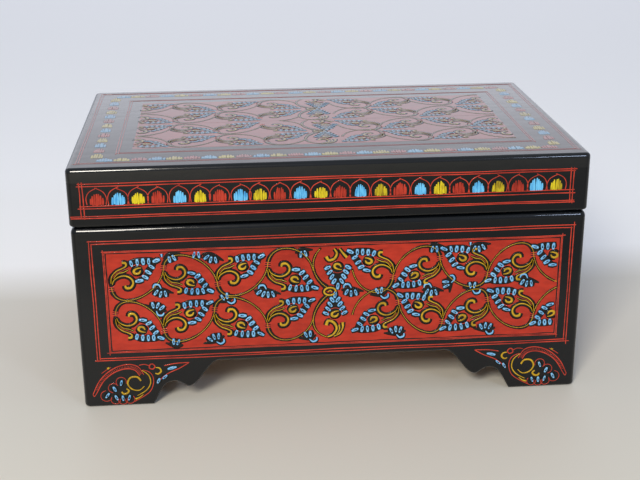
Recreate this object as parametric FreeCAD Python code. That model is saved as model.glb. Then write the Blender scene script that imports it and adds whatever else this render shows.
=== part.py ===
"""Lacquered wooden music box: a bracket-footed case with a hinged hollow lid and an 18-note wind-up movement.

Millimetres. +X is the box's right, -Y its front, +Z up. The origin is at the middle of the bounding box's
base, so the feet stand on Z = 0. Each sub-part is written to parts/NODE.step.
"""

import FreeCAD
import Part

import math
import os

V = FreeCAD.Vector

# ---------------------------------------------------------------- driving dimensions: case and lid
CASE_WIDTH = 250.0
CASE_DEPTH = 156.0
TOTAL_HEIGHT = 124.6
SEAM_HEIGHT = 95.4          # top of the case's rim
SEAM_GAP = 0.3              # between the case's rim and the lid's
WALL = 9.0                  # case boards and lid rails
LID_OVERHANG = 0.3          # lid past the case, on every side
LID_TOP_THICKNESS = 7.0
CORNER_RADIUS = 3.0         # upright corners of case and lid
CASE_RIM_RADIUS = 3.4       # round along the outside of the case's rim
LID_RIM_RADIUS = 1.3        # round along the lid's lower edge
LID_TOP_RADIUS = 2.2        # round along the lid's upper edge
FOOT_SOLE_RADIUS = 1.6      # round under the outside of the feet
ARCH_EDGE_EASE = 0.5        # bevel along the outer edge of the cut-outs between the feet

# Bracket foot outline: from the case's corner along a side, and up from the ground, from the sole to the apron.
FOOT_SOLE_WIDTH = 34.0
FOOT_OUTLINE = (
    (36.5, 4.4), (38.7, 8.3), (41.4, 11.4), (45.4, 12.6),      # foot's inner slope and the cove
    (49.4, 10.9), (52.3, 9.4), (55.2, 10.6), (59.8, 16.0), (63.9, 20.9),    # tip, and the slope up
)
APRON_START = 68.6              # where the straight lower edge of the apron begins
APRON_HEIGHT = 23.2
APRON_LEAST = 16.0              # straight edge kept on a short side, by narrowing its feet

# ---------------------------------------------------------------- bottom panel, bays and linings
PANEL_UNDERSIDE = 26.0
PANEL_THICKNESS = 5.0
GROOVE_DEPTH = 4.0
GROOVE_CLEARANCE = 0.15
CORNER_BLOCK_LEG = 18.0
PARTITION_THICKNESS = 6.0
PARTITION_TOP = 90.0
BAY_WIDTH = 66.0                # movement bay and ring bay, along X
MOVEMENT_BAY_DEPTH = 50.5       # along Y
FIT_GAP = 0.1                   # between pieces that are glued or laid in
LINING_THICKNESS = 1.5
LINING_TOP = 89.0
PAD_THICKNESS = 5.0
CUSHION_HEIGHT = 30.0
COVER_HEIGHT = 66.0             # underside of the clear cover over the movement
COVER_THICKNESS = 2.5
LEDGE_WIDTH = 4.5
LEDGE_HEIGHT = 5.5

# ---------------------------------------------------------------- lid interior
LID_LINING_THICKNESS = 2.0
MIRROR_SIDE_MARGIN = 35.0       # from the mirror's frame to the lid's side rails
MIRROR_FRONT_MARGIN = 15.0      # to its front rail
MIRROR_STRIKER_GAP = 9.5        # to the stop striker behind
MIRROR_THICKNESS = 2.0
FRAME_STRIP_WIDTH = 8.0
FRAME_STRIP_THICKNESS = 4.5
FRAME_LAP = 2.0                 # how far the frame strips lap the mirror

# ---------------------------------------------------------------- stop hinges
HINGE_SPACING = 140.0           # between the two hinges' middles
HINGE_LENGTH = 30.0
KNUCKLE_RADIUS = 2.0
HINGE_PIN_RADIUS = 0.8
HINGE_PIN_CLEARANCE = 0.05
KNUCKLE_GAP = 0.3               # along X, between neighbouring knuckles
MIDDLE_KNUCKLE = 10.0
LEAF_THICKNESS = 1.2
LEAF_REACH = 7.0                # into the rim from the back face
HINGE_STANDOFF = 0.5            # knuckle's face clear of the case's back
STOP_REACH = 4.0                # stop shoulder's edge from the pin's axis
STOP_THICKNESS = 1.5
STOP_CLEARANCE = 0.04
LID_OPENING = 100.0             # degrees, where the stop shoulders meet
HINGE_SCREW_SPACING = 18.0
HINGE_SCREW_RADIUS = 1.0
HINGE_SCREW_HEAD = 1.9
HINGE_SCREW_LENGTH = 8.0
SCREW_CLEARANCE = 0.05

# ---------------------------------------------------------------- movement, from the barrel's axis on the panel
MOVEMENT_EDGE_GAP = 2.0         # bedplate to the case's right board
MOVEMENT_BACK_GAP = 3.0         # bedplate to the case's back board
BEDPLATE_FOOT = 1.5
BEDPLATE_THICKNESS = 2.5
BEDPLATE_RIGHT = 14.5
BEDPLATE_LEFT = 44.0
BEDPLATE_FRONT = 24.0
BEDPLATE_BACK = 19.5
CROWN_TEETH = 40
PINION_TEETH = 20
DRIVE_MODULE = 0.6
CROWN_FACE = 2.0
PINION_FACE = 1.6
HOUSING_RADIUS = 13.2
HOUSING_HEIGHT = 6.3
HOUSING_WALL = 0.8
ARBOR_RADIUS = 2.0
ARBOR_HUB_RADIUS = 3.4
RUNNING = 0.05                  # radial clearance of pivots
END_PLAY = 0.3                  # axial clearance of wheels
SPRING_TURNS = 6
SPRING_THICKNESS = 0.35
WHEEL_THICKNESS = 1.2
RATCHET_TEETH = 12
RATCHET_RADIUS = 5.2
RATCHET_DEPTH = 1.0
RATCHET_THICKNESS = 1.0
CYLINDER_RADIUS = 6.5
CYLINDER_LENGTH = 21.0
CYLINDER_WALL = 0.9
PIN_HEIGHT = 0.55               # pins stand this far out of the cylinder
PIN_RADIUS = 0.16
PINS_PER_NOTE = 5
CYLINDER_PIVOT_RADIUS = 1.0
RELAY_MODULE = 0.4
RELAY_WHEEL_TEETH = 32
RELAY_PINION_TEETH = 10
RELAY_FACE = 1.6
RELAY_ANGLE = -20.0             # of the second arbor round the cylinder's axis, from +Y
WORM_MODULE = 0.5
WORM_WHEEL_TEETH = 24
WORM_WHEEL_FACE = 2.0
WORM_RADIUS = 1.6
WORM_LENGTH = 7.8
TOOTH_SHARE = 0.42              # tooth thickness as a share of the pitch
WORM_TOOTH_SHARE = 0.38
PRESSURE_ANGLE = 20.0
COMB_TEETH = 18
COMB_TOOTH_GAP = 0.22
COMB_TOOTH_LENGTH = 10.0
COMB_BODY_LENGTH = 6.4
COMB_THICKNESS = 1.8
COMB_TIP_THICKNESS = 0.45
COMB_PIN_GAP = 0.1
COMB_SETBACK = 0.8              # comb's ends inside the cylinder's
FRAME_WALL = 1.2
FLY_RADIUS = 3.6
FLY_HEIGHT = 3.4
FLY_BLADE = 0.45
FLY_DISC = 0.5
PLUNGER_RADIUS = 1.0
PLUNGER_TRAVEL = 3.0
PLUNGER_TOP_GAP = 0.1           # under the closed lid's striker
STRIKER_RISE = 0.4              # striker's lower face above the lid's rim
STRIKER_FRONT = 4.0             # striker's front face ahead of the plunger
PLUNGER_OFFSET = 5.6            # of the plunger to the left of the worm's axis
BRAKE_RADIUS = 2.5              # of the brake pad from the worm's axis
BRAKE_GAP = 0.1
KEY_WIDTH = 24.0
KEY_EYE_RADIUS = 2.2             # of the finger eye in each wing
KEY_EYE_DEPTH = 4.0
KEY_HEIGHT = 11.0
KEY_THICKNESS = 1.6
KEY_HUB_RADIUS = 3.2
KEY_HUB_LENGTH = 9.0
KEY_PANEL_GAP = 1.0
KEY_HOLE_RADIUS = 4.5

# ---------------------------------------------------------------- places worked out from them
HINGE_AXIS_OFFSET = HINGE_STANDOFF + KNUCKLE_RADIUS + LID_OVERHANG
STOP_ANGLE = LID_OPENING / 2
HINGE_PROUD = HINGE_AXIS_OFFSET + STOP_REACH * math.cos(math.radians(STOP_ANGLE))
Y_FRONT = -(LID_OVERHANG + CASE_DEPTH + HINGE_PROUD) / 2 + LID_OVERHANG
Y_BACK = Y_FRONT + CASE_DEPTH
X_SIDE = CASE_WIDTH / 2
IN_X = X_SIDE - WALL
IN_FRONT = Y_FRONT + WALL
IN_BACK = Y_BACK - WALL
LID_BASE = SEAM_HEIGHT + SEAM_GAP
RAIL_TOP = TOTAL_HEIGHT - LID_TOP_THICKNESS
FLOOR = PANEL_UNDERSIDE + PANEL_THICKNESS
BAY_LEFT = IN_X - BAY_WIDTH
BAY_FRONT = IN_BACK - MOVEMENT_BAY_DEPTH
HINGE_Y = Y_BACK + HINGE_AXIS_OFFSET
HINGE_Z = SEAM_HEIGHT + SEAM_GAP / 2
BARREL_X = IN_X - MOVEMENT_EDGE_GAP - BEDPLATE_RIGHT
BARREL_Y = IN_BACK - MOVEMENT_BACK_GAP - BEDPLATE_BACK
PLATE_TOP = FLOOR + BEDPLATE_FOOT + BEDPLATE_THICKNESS
CROWN_RADIUS = DRIVE_MODULE * CROWN_TEETH / 2
PINION_RADIUS = DRIVE_MODULE * PINION_TEETH / 2
WHEEL_BASE = PLATE_TOP + HOUSING_HEIGHT + END_PLAY
WHEEL_TOP = WHEEL_BASE + WHEEL_THICKNESS
CROWN_PITCH_Z = WHEEL_TOP + 1.1 * DRIVE_MODULE
CYLINDER_Z = CROWN_PITCH_Z + PINION_RADIUS
PINION_X = BARREL_X - CROWN_RADIUS
CYLINDER_RIGHT = BARREL_X - CROWN_RADIUS - CROWN_FACE / 2 - 0.5
CYLINDER_LEFT = CYLINDER_RIGHT - CYLINDER_LENGTH
RELAY_WHEEL_RADIUS = RELAY_MODULE * RELAY_WHEEL_TEETH / 2
RELAY_PINION_RADIUS = RELAY_MODULE * RELAY_PINION_TEETH / 2
RELAY_X = CYLINDER_LEFT - 0.4 - RELAY_FACE
RELAY_DISTANCE = RELAY_WHEEL_RADIUS + RELAY_PINION_RADIUS
RELAY_Y = BARREL_Y + RELAY_DISTANCE * math.cos(math.radians(RELAY_ANGLE))
RELAY_Z = CYLINDER_Z + RELAY_DISTANCE * math.sin(math.radians(RELAY_ANGLE))
FRAME_INNER_X = RELAY_X - 0.5 - FRAME_WALL
WORM_WHEEL_RADIUS = WORM_MODULE * WORM_WHEEL_TEETH / 2
WORM_X = FRAME_INNER_X - 0.6 - WORM_WHEEL_FACE / 2
WORM_Y = RELAY_Y + WORM_WHEEL_RADIUS + WORM_RADIUS
WORM_PITCH = math.pi * WORM_MODULE
FRAME_OUTER_X = WORM_X - WORM_WHEEL_FACE / 2 - 0.6 - FRAME_WALL
FLY_BASE = RELAY_Z + WORM_WHEEL_RADIUS + 1.0
DISC_TOP = FLY_BASE + FLY_HEIGHT + FLY_DISC
UPPER_ARM = DISC_TOP + 0.6
PLUNGER_X = WORM_X - PLUNGER_OFFSET
PLUNGER_Y = WORM_Y - BRAKE_RADIUS


# ---------------------------------------------------------------- helpers
def block(x0, x1, y0, y1, z0, z1):
    """A box between two corners."""
    return Part.makeBox(x1 - x0, y1 - y0, z1 - z0, V(x0, y0, z0))


def upright(x, y, z0, z1, radius):
    """A cylinder along Z."""
    return Part.makeCylinder(radius, z1 - z0, V(x, y, z0))


def along_x(x0, x1, y, z, radius):
    """A cylinder along X."""
    return Part.makeCylinder(radius, x1 - x0, V(x0, y, z), V(1, 0, 0))


def prism(points, direction):
    """A closed outline of points, extruded."""
    return Part.Face(Part.makePolygon([*points, points[0]])).extrude(direction)


def fuse(first, *others):
    """One clean solid from several that meet."""
    return first.fuse(list(others)).removeSplitter()


def edges_where(shape, test):
    """The edges whose two ends and middle all pass the test."""
    found = []
    for edge in shape.Edges:
        middle = edge.valueAt((edge.FirstParameter + edge.LastParameter) / 2)
        if all(test(p) for p in [middle, *(v.Point for v in edge.Vertexes)]):
            found.append(edge)
    return found


def near(a, b):
    """True if two coordinates are the same place."""
    return abs(a - b) < 1e-4


def save(name, *solids):
    """Writes one node."""
    shape = solids[0] if len(solids) == 1 else Part.makeCompound(list(solids))
    shape.exportStep(f"parts/{name}.step")


def rounded_block(x, y0, y1, z0, z1, low_radius, high_radius):
    """A block from -x to x whose upright corners, lower outer edges and upper outer edges are rounded."""
    body = block(-x, x, y0, y1, z0, z1)
    corners = edges_where(body, lambda p: near(abs(p.x), x) and (near(p.y, y0) or near(p.y, y1)))
    body = body.makeFillet(CORNER_RADIUS, corners)
    body = body.makeFillet(high_radius, edges_where(body, lambda p: near(p.z, z1)))
    return body.makeFillet(low_radius, edges_where(body, lambda p: near(p.z, z0)))


def screw(x, y, seat, length, radius, head_radius, head_height, points_down=True):
    """A slotted screw along Z: its head's top is at seat, and its shank ends length away."""
    s = -1 if points_down else 1
    turn = V(0, 0, s)
    head = Part.makeCylinder(head_radius, head_height, V(x, y, seat), turn)
    shank = Part.makeCylinder(radius, length - head_height, V(x, y, seat + s * head_height), turn)
    slot = block(x - head_radius, x + head_radius, y - 0.2, y + 0.2,
                 min(seat, seat + s * 0.35), max(seat, seat + s * 0.35))
    return fuse(head, shank).cut(slot)


def screw_hole(x, y, seat, length, radius, head_radius, head_height, points_down=True):
    """What is drilled for that screw, with clearance."""
    s = -1 if points_down else 1
    turn = V(0, 0, s)
    above = V(x, y, seat - s * 5.0)
    head = Part.makeCylinder(head_radius + SCREW_CLEARANCE, head_height + 5.0, above, turn)
    shank = Part.makeCylinder(radius + SCREW_CLEARANCE, length + SCREW_CLEARANCE, V(x, y, seat), turn)
    return head.fuse(shank)


def involute_half_angle(radius, pitch_radius, teeth, share):
    """Half of a tooth's angle at a radius."""
    base = pitch_radius * math.cos(math.radians(PRESSURE_ANGLE))
    lean = math.radians(PRESSURE_ANGLE)
    here = math.acos(min(1.0, base / max(radius, base)))
    involute = (math.tan(lean) - lean) - (math.tan(here) - here)
    return math.pi * share / teeth + involute


def tooth_outline(teeth, module, share, addendum, dedendum):
    """Polar points (radius, angle) of one tooth about angle 0, from its root round its tip."""
    pitch = module * teeth / 2
    root, tip = pitch - dedendum * module, pitch + addendum * module
    radii = [root, root + (tip - root) * 0.35, root + (tip - root) * 0.7, tip]
    half = [involute_half_angle(r, pitch, teeth, share) for r in radii]
    rising = [(r, -h) for r, h in zip(radii, half)]
    return rising + [(r, -h) for r, h in reversed(rising)]


def spur_gear(x, y, z, width, teeth, module, start, share=TOOTH_SHARE, addendum=0.85, dedendum=1.15):
    """A spur gear along +X from x, with one tooth at angle start, in degrees from +Y towards +Z."""
    outline = tooth_outline(teeth, module, share, addendum, dedendum)
    points = []
    for k in range(teeth):
        turn = math.radians(start) + 2 * math.pi * k / teeth
        points += [V(x, y + r * math.cos(a + turn), z + r * math.sin(a + turn)) for r, a in outline]
    return prism(points, V(width, 0, 0))


# ---------------------------------------------------------------- case
def foot_outline(half_length, grow, y):
    """The outline of the cut-out between two feet, about X = 0 at Y = y, moved by grow into the wood."""
    narrow = min(1.0, (half_length - APRON_LEAST / 2) / APRON_START)
    corners = ((FOOT_SOLE_WIDTH, 0.0), *FOOT_OUTLINE, (APRON_START, APRON_HEIGHT))
    points = [(x * narrow, z) for x, z in corners]
    moved = [(points[0][0] - grow, 0.0)]
    for before, here, after in zip(points, points[1:], points[2:]):
        dx, dz = after[0] - before[0], after[1] - before[1]
        size = math.hypot(dx, dz)
        moved.append((here[0] - grow * dz / size, here[1] + grow * dx / size))
    moved.append((points[-1][0], APRON_HEIGHT + grow))

    def edge(s):
        curve = Part.BSplineCurve()
        curve.interpolate([V(s * (half_length - x), y, z) for x, z in moved],
                          InitialTangent=V(-s * 0.7, 0, 0.8), FinalTangent=V(-s, 0, 0))
        return curve.toShape()

    toe, apron, low = half_length - moved[0][0], half_length - moved[-1][0], -5.0
    corners = [V(toe, y, 0), V(toe, y, low), V(-toe, y, low), V(-toe, y, 0)]
    ends = [V(s * apron, y, moved[-1][1]) for s in (-1, 1)]
    return Part.Wire(Part.__sortEdges__([edge(-1), Part.makeLine(*ends), edge(1),
                                         *(Part.makeLine(p, q) for p, q in zip(corners, corners[1:]))]))


def foot_cutter(half_length, depth):
    """The cut-out between two feet, along +Y from the board's outer face at Y = 0, its outer edge eased."""
    ease = ARCH_EDGE_EASE
    through = Part.Face(foot_outline(half_length, 0.0, -1.0)).extrude(V(0, depth, 0))
    outlines = [foot_outline(half_length, 2 * ease, -ease), foot_outline(half_length, 0.0, ease)]
    bevel = Part.makeLoft(outlines, True, True)
    return through.fuse(bevel)


def mitre_wedge(side):
    """All the space that belongs to one side's board, when the corners are mitred at 45 degrees."""
    far = CASE_WIDTH
    mid = (IN_FRONT + IN_BACK) / 2
    reach = (IN_BACK - IN_FRONT) / 2          # the mitre planes run inwards until they meet at mid depth
    corner_x = IN_X - reach
    low, high = -10.0, TOTAL_HEIGHT + 10.0
    out = far - IN_X
    if side in ("front", "back"):
        s = -1 if side == "front" else 1
        edge = mid + s * reach
        points = [V(-corner_x, mid, low), V(corner_x, mid, low),
                  V(IN_X + out, edge + s * out, low), V(-IN_X - out, edge + s * out, low)]
    else:
        s = -1 if side == "left" else 1
        points = [V(s * corner_x, mid, low), V(s * (IN_X + out), mid + reach + out, low),
                  V(s * (IN_X + out), mid - reach - out, low)]
    return prism(points, V(0, 0, high - low))


def case_boards():
    """The four mitred boards, with the feet cut in one with them and a groove for the bottom panel."""
    shell = rounded_block(X_SIDE, Y_FRONT, Y_BACK, 0, SEAM_HEIGHT, FOOT_SOLE_RADIUS, CASE_RIM_RADIUS)
    shell = shell.cut(block(-IN_X, IN_X, IN_FRONT, IN_BACK, -1, SEAM_HEIGHT + 1))
    g = GROOVE_DEPTH
    shell = shell.cut(block(-IN_X - g, IN_X + g, IN_FRONT - g, IN_BACK + g, PANEL_UNDERSIDE, FLOOR))
    mid_y = (Y_FRONT + Y_BACK) / 2
    boards = {}
    for side, half, turn, place in (("front", X_SIDE, 0, V(0, Y_FRONT, 0)),
                                    ("right", CASE_DEPTH / 2, 90, V(X_SIDE, mid_y, 0)),
                                    ("back", X_SIDE, 180, V(0, Y_BACK, 0)),
                                    ("left", CASE_DEPTH / 2, 270, V(-X_SIDE, mid_y, 0))):
        cutter = foot_cutter(half, 2 * WALL)
        cutter.rotate(V(0, 0, 0), V(0, 0, 1), turn)
        boards[side] = shell.common(mitre_wedge(side)).cut(cutter.translated(place))
    return boards


def bottom_panel():
    """The plywood floor, held in the boards' groove, with its key hole and the movement's screw holes."""
    r = GROOVE_DEPTH - GROOVE_CLEARANCE
    panel = block(-IN_X - r, IN_X + r, IN_FRONT - r, IN_BACK + r,
                  PANEL_UNDERSIDE + GROOVE_CLEARANCE / 2, FLOOR - GROOVE_CLEARANCE / 2)
    return panel.cut([upright(BARREL_X, BARREL_Y, 0, SEAM_HEIGHT, KEY_HOLE_RADIUS),
                      *(movement_screw_hole(x, y) for x, y in movement_screw_places())])


def corner_blocks():
    """Glue blocks inside the feet, under the panel."""
    leg = CORNER_BLOCK_LEG
    solids = []
    for sx in (-1, 1):
        for y, sy in ((IN_FRONT, 1), (IN_BACK, -1)):
            x, y0 = sx * (IN_X - FIT_GAP), y + sy * FIT_GAP
            points = [V(x, y0, 1.0), V(x - sx * leg, y0, 1.0), V(x, y0 + sy * leg, 1.0)]
            solids.append(prism(points, V(0, 0, PANEL_UNDERSIDE - 1.0)))
    return solids


def partitions():
    """The board between the jewellery compartment and the bays, and the one between the two bays."""
    top, low = PARTITION_TOP, FLOOR
    x1 = BAY_LEFT
    x0 = x1 - PARTITION_THICKNESS
    long_board = block(x0, x1, IN_FRONT + FIT_GAP, IN_BACK - FIT_GAP, low, top)
    y1 = BAY_FRONT
    cross = block(x1 + FIT_GAP, IN_X - FIT_GAP, y1 - PARTITION_THICKNESS, y1, low, top)
    rounds = [edges_where(long_board, lambda p: near(p.z, top) and near(p.x, x)) for x in (x0, x1)]
    long_board = long_board.makeFillet(1.2, rounds[0] + rounds[1])
    rounds = [edges_where(cross, lambda p: near(p.z, top) and near(p.y, y))
              for y in (y1, y1 - PARTITION_THICKNESS)]
    return long_board, cross.makeFillet(1.2, rounds[0] + rounds[1])


def compartment_fittings():
    """The jewellery compartment's velvet-covered cards and floor pad, and the ring bay's cushion."""
    right = BAY_LEFT - PARTITION_THICKNESS - FIT_GAP
    left, front, back = -IN_X + FIT_GAP, IN_FRONT + FIT_GAP, IN_BACK - FIT_GAP
    t = LINING_THICKNESS
    lining = [
        block(left, right, front, front + t, FLOOR, LINING_TOP),
        block(left, right, back - t, back, FLOOR, LINING_TOP),
        block(left, left + t, front + t + FIT_GAP, back - t - FIT_GAP, FLOOR, LINING_TOP),
        block(right - t, right, front + t + FIT_GAP, back - t - FIT_GAP, FLOOR, LINING_TOP),
    ]
    inset = t + 3 * FIT_GAP
    pad = block(left + inset, right - inset, front + inset, back - inset, FLOOR, FLOOR + PAD_THICKNESS)
    cushion = block(BAY_LEFT + 0.5, IN_X - 0.5, IN_FRONT + 0.5, BAY_FRONT - PARTITION_THICKNESS - 0.5,
                    FLOOR, FLOOR + CUSHION_HEIGHT)
    return lining, pad, cushion


def cover_screw_places():
    """Where the cover's four screws stand."""
    inset = LEDGE_WIDTH / 2
    xs = (BAY_LEFT + 16.0, IN_X - 16.0)
    return [(x, y) for x in xs for y in (BAY_FRONT + inset, IN_BACK - inset)]


def movement_cover():
    """Two ledges, the clear pane on them with a hole for the plunger, and its screws."""
    seat, top = COVER_HEIGHT, COVER_HEIGHT + COVER_THICKNESS
    ledges = [block(BAY_LEFT + FIT_GAP, IN_X - FIT_GAP, y0, y0 + LEDGE_WIDTH, seat - LEDGE_HEIGHT, seat)
              for y0 in (BAY_FRONT, IN_BACK - LEDGE_WIDTH)]
    pane = block(BAY_LEFT + 0.3, IN_X - 0.3, BAY_FRONT + 0.3, IN_BACK - 0.3, seat, top)
    pane = pane.cut(upright(PLUNGER_X, PLUNGER_Y, seat - 1, top + 1, PLUNGER_RADIUS + 0.6))
    screws = []
    for x, y in cover_screw_places():
        dome = Part.makeSphere(1.9, V(x, y, top - 0.9)).common(block(x - 3, x + 3, y - 3, y + 3, top, top + 2))
        shank = upright(x, y, top - 7.0, top, 0.8)
        slot = block(x - 2, x + 2, y - 0.18, y + 0.18, top + 0.65, top + 2)
        screws.append(fuse(dome, shank).cut(slot))
        hole = upright(x, y, top - 7.0 - SCREW_CLEARANCE, top + 1, 0.8 + SCREW_CLEARANCE)
        pane = pane.cut(hole)
        ledges = [ledge.cut(hole) for ledge in ledges]
    return ledges, pane, screws


# ---------------------------------------------------------------- lid
def lid_boards():
    """The lid's top board and its four mitred rails."""
    o = LID_OVERHANG
    shell = rounded_block(X_SIDE + o, Y_FRONT - o, Y_BACK + o, LID_BASE, TOTAL_HEIGHT,
                          LID_RIM_RADIUS, LID_TOP_RADIUS)
    top = shell.common(block(-CASE_WIDTH, CASE_WIDTH, -CASE_WIDTH, CASE_WIDTH, RAIL_TOP, TOTAL_HEIGHT + 1))
    ring = shell.cut([block(-CASE_WIDTH, CASE_WIDTH, -CASE_WIDTH, CASE_WIDTH, RAIL_TOP, TOTAL_HEIGHT + 1),
                      block(-IN_X, IN_X, IN_FRONT, IN_BACK, LID_BASE - 1, RAIL_TOP + 1)])
    return top, {side: ring.common(mitre_wedge(side)) for side in ("front", "back", "left", "right")}


def lid_fittings():
    """The velvet-covered lining card, the mirror, its four mitred frame strips, and the stop's striker."""
    low = RAIL_TOP - LID_LINING_THICKNESS
    lining = block(-IN_X + FIT_GAP, IN_X - FIT_GAP, IN_FRONT + FIT_GAP, IN_BACK - FIT_GAP, low, RAIL_TOP)
    front, back = IN_FRONT + MIRROR_FRONT_MARGIN, PLUNGER_Y - STRIKER_FRONT - MIRROR_STRIKER_GAP
    mid, ox, oy = (front + back) / 2, IN_X - MIRROR_SIDE_MARGIN, (back - front) / 2
    ix, iy = ox - FRAME_STRIP_WIDTH, oy - FRAME_STRIP_WIDTH
    hx, hy = ix + FRAME_LAP, iy + FRAME_LAP
    glass = block(-hx, hx, mid - hy, mid + hy, low - MIRROR_THICKNESS, low)
    strips = []
    for s in (-1, 1):
        z = low - FRAME_STRIP_THICKNESS
        long_strip = [V(-ox, mid + s * oy, z), V(ox, mid + s * oy, z),
                      V(ix, mid + s * iy, z), V(-ix, mid + s * iy, z)]
        short_strip = [V(s * ox, mid - oy, z), V(s * ox, mid + oy, z),
                       V(s * ix, mid + iy, z), V(s * ix, mid - iy, z)]
        strips += [prism(p, V(0, 0, FRAME_STRIP_THICKNESS)) for p in (long_strip, short_strip)]
    rebate = block(-hx - FIT_GAP, hx + FIT_GAP, mid - hy - FIT_GAP, mid + hy + FIT_GAP,
                   low - MIRROR_THICKNESS - FIT_GAP, low + 1)
    strips = [strip.cut(rebate) for strip in strips]
    strips = [s.makeFillet(1.0, edges_where(s, lambda p: near(p.z, low - FRAME_STRIP_THICKNESS)))
              for s in strips]
    base = LID_BASE + STRIKER_RISE
    striker = block(PLUNGER_X - 5, PLUNGER_X + 5, PLUNGER_Y - STRIKER_FRONT, IN_BACK - FIT_GAP, base, low)
    lower = edges_where(striker, lambda p: near(p.z, base))
    return lining, glass, strips, striker.makeFillet(0.8, lower)


# ---------------------------------------------------------------- hinges
def hinge_screw_places(middle):
    """Where one leaf's screws stand."""
    return [(middle + s * HINGE_SCREW_SPACING / 2, Y_BACK - LEAF_REACH / 2) for s in (-1, 1)]


def hinge_screw_size(points_down):
    """The length, radius, head radius, head height and direction that every hinge screw shares."""
    return HINGE_SCREW_LENGTH, HINGE_SCREW_RADIUS, HINGE_SCREW_HEAD, 0.7, points_down


def stop_shoulder(x0, x1, u0, up):
    """A stop plate from the pin's axis outwards at the stop angle, above (up=1) or below (up=-1) the axis."""
    a = math.radians(STOP_ANGLE)
    out = V(0, math.cos(a), up * math.sin(a))
    away = V(0, -math.sin(a), up * math.cos(a))
    axis = V(x0, HINGE_Y, HINGE_Z)
    inner, outer = axis + away * STOP_CLEARANCE, axis + away * STOP_THICKNESS
    points = [inner + out * u0, inner + out * STOP_REACH, outer + out * STOP_REACH, outer + out * u0]
    return prism(points, V(x1 - x0, 0, 0))


def hinge(middle):
    """One stop hinge: its case leaf, its lid leaf and its pin."""
    x0, x1 = middle - HINGE_LENGTH / 2, middle + HINGE_LENGTH / 2
    m0, m1 = middle - MIDDLE_KNUCKLE / 2, middle + MIDDLE_KNUCKLE / 2
    g = KNUCKLE_GAP
    y0 = Y_BACK - LEAF_REACH
    clear = KNUCKLE_RADIUS + KNUCKLE_GAP
    outer_spans, inner_spans = [(x0, m0 - g), (m1 + g, x1)], [(m0, m1)]

    def leaf(low, up, own, other):
        plate = block(x0, x1, y0, HINGE_Y, low, low + LEAF_THICKNESS)
        for a, b in other:
            plate = plate.cut(block(a - g, b + g, HINGE_Y - clear, HINGE_Y + 1,
                                    low - 1, low + LEAF_THICKNESS + 1))
        knuckles = [along_x(a, b, HINGE_Y, HINGE_Z, KNUCKLE_RADIUS) for a, b in own]
        shoulders = [stop_shoulder(a, b, 0, up) for a, b in own]
        shoulders.append(stop_shoulder(x0, x1, clear, up))
        body = fuse(plate, *knuckles, *shoulders)
        return body.cut(along_x(x0 - 1, x1 + 1, HINGE_Y, HINGE_Z, HINGE_PIN_RADIUS + HINGE_PIN_CLEARANCE))

    case_leaf = leaf(SEAM_HEIGHT - LEAF_THICKNESS, -1, outer_spans, inner_spans)
    lid_leaf = leaf(LID_BASE, 1, inner_spans, outer_spans)
    for x, y in hinge_screw_places(middle):
        case_leaf = case_leaf.cut(screw_hole(x, y, SEAM_HEIGHT, *hinge_screw_size(True)))
        lid_leaf = lid_leaf.cut(screw_hole(x, y, LID_BASE, *hinge_screw_size(False)))
    pin = along_x(x0 - 0.6, x1 + 0.6, HINGE_Y, HINGE_Z, HINGE_PIN_RADIUS)
    heads = [along_x(a, a + 0.6, HINGE_Y, HINGE_Z, HINGE_PIN_RADIUS + 0.5) for a in (x0 - 0.9, x1 + 0.3)]
    return case_leaf, lid_leaf, fuse(pin, *heads)


def hinge_recess(middle, low, high):
    """The pocket let into the rim for one leaf."""
    g = FIT_GAP
    return block(middle - HINGE_LENGTH / 2 - g, middle + HINGE_LENGTH / 2 + g,
                 Y_BACK - LEAF_REACH - g, Y_BACK + 5.0, low, high)


# ---------------------------------------------------------------- movement: frame
def movement_screw_places():
    """Where the three screws come up through the panel into the bedplate."""
    return [(BARREL_X + 10.5, BARREL_Y - 19.5), (BARREL_X - 39.0, BARREL_Y - 19.5),
            (BARREL_X - 27.0, BARREL_Y + 15.0)]


MOVEMENT_SCREW = (PANEL_UNDERSIDE - 1.6, 1.6 + PANEL_THICKNESS + 3.0, 1.2, 2.6, 1.6)


def movement_screw_hole(x, y):
    """The clearance hole through the panel and bedplate for one movement screw."""
    return upright(x, y, PANEL_UNDERSIDE - 1, PLATE_TOP - 0.6, MOVEMENT_SCREW[2] + SCREW_CLEARANCE)


def movement_screws():
    """The three screws that hold the movement, heads under the panel."""
    seat, length, radius, head, height = MOVEMENT_SCREW
    return [screw(x, y, seat + GROOVE_CLEARANCE / 2, length, radius, head, height, points_down=False)
            for x, y in movement_screw_places()]


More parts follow.
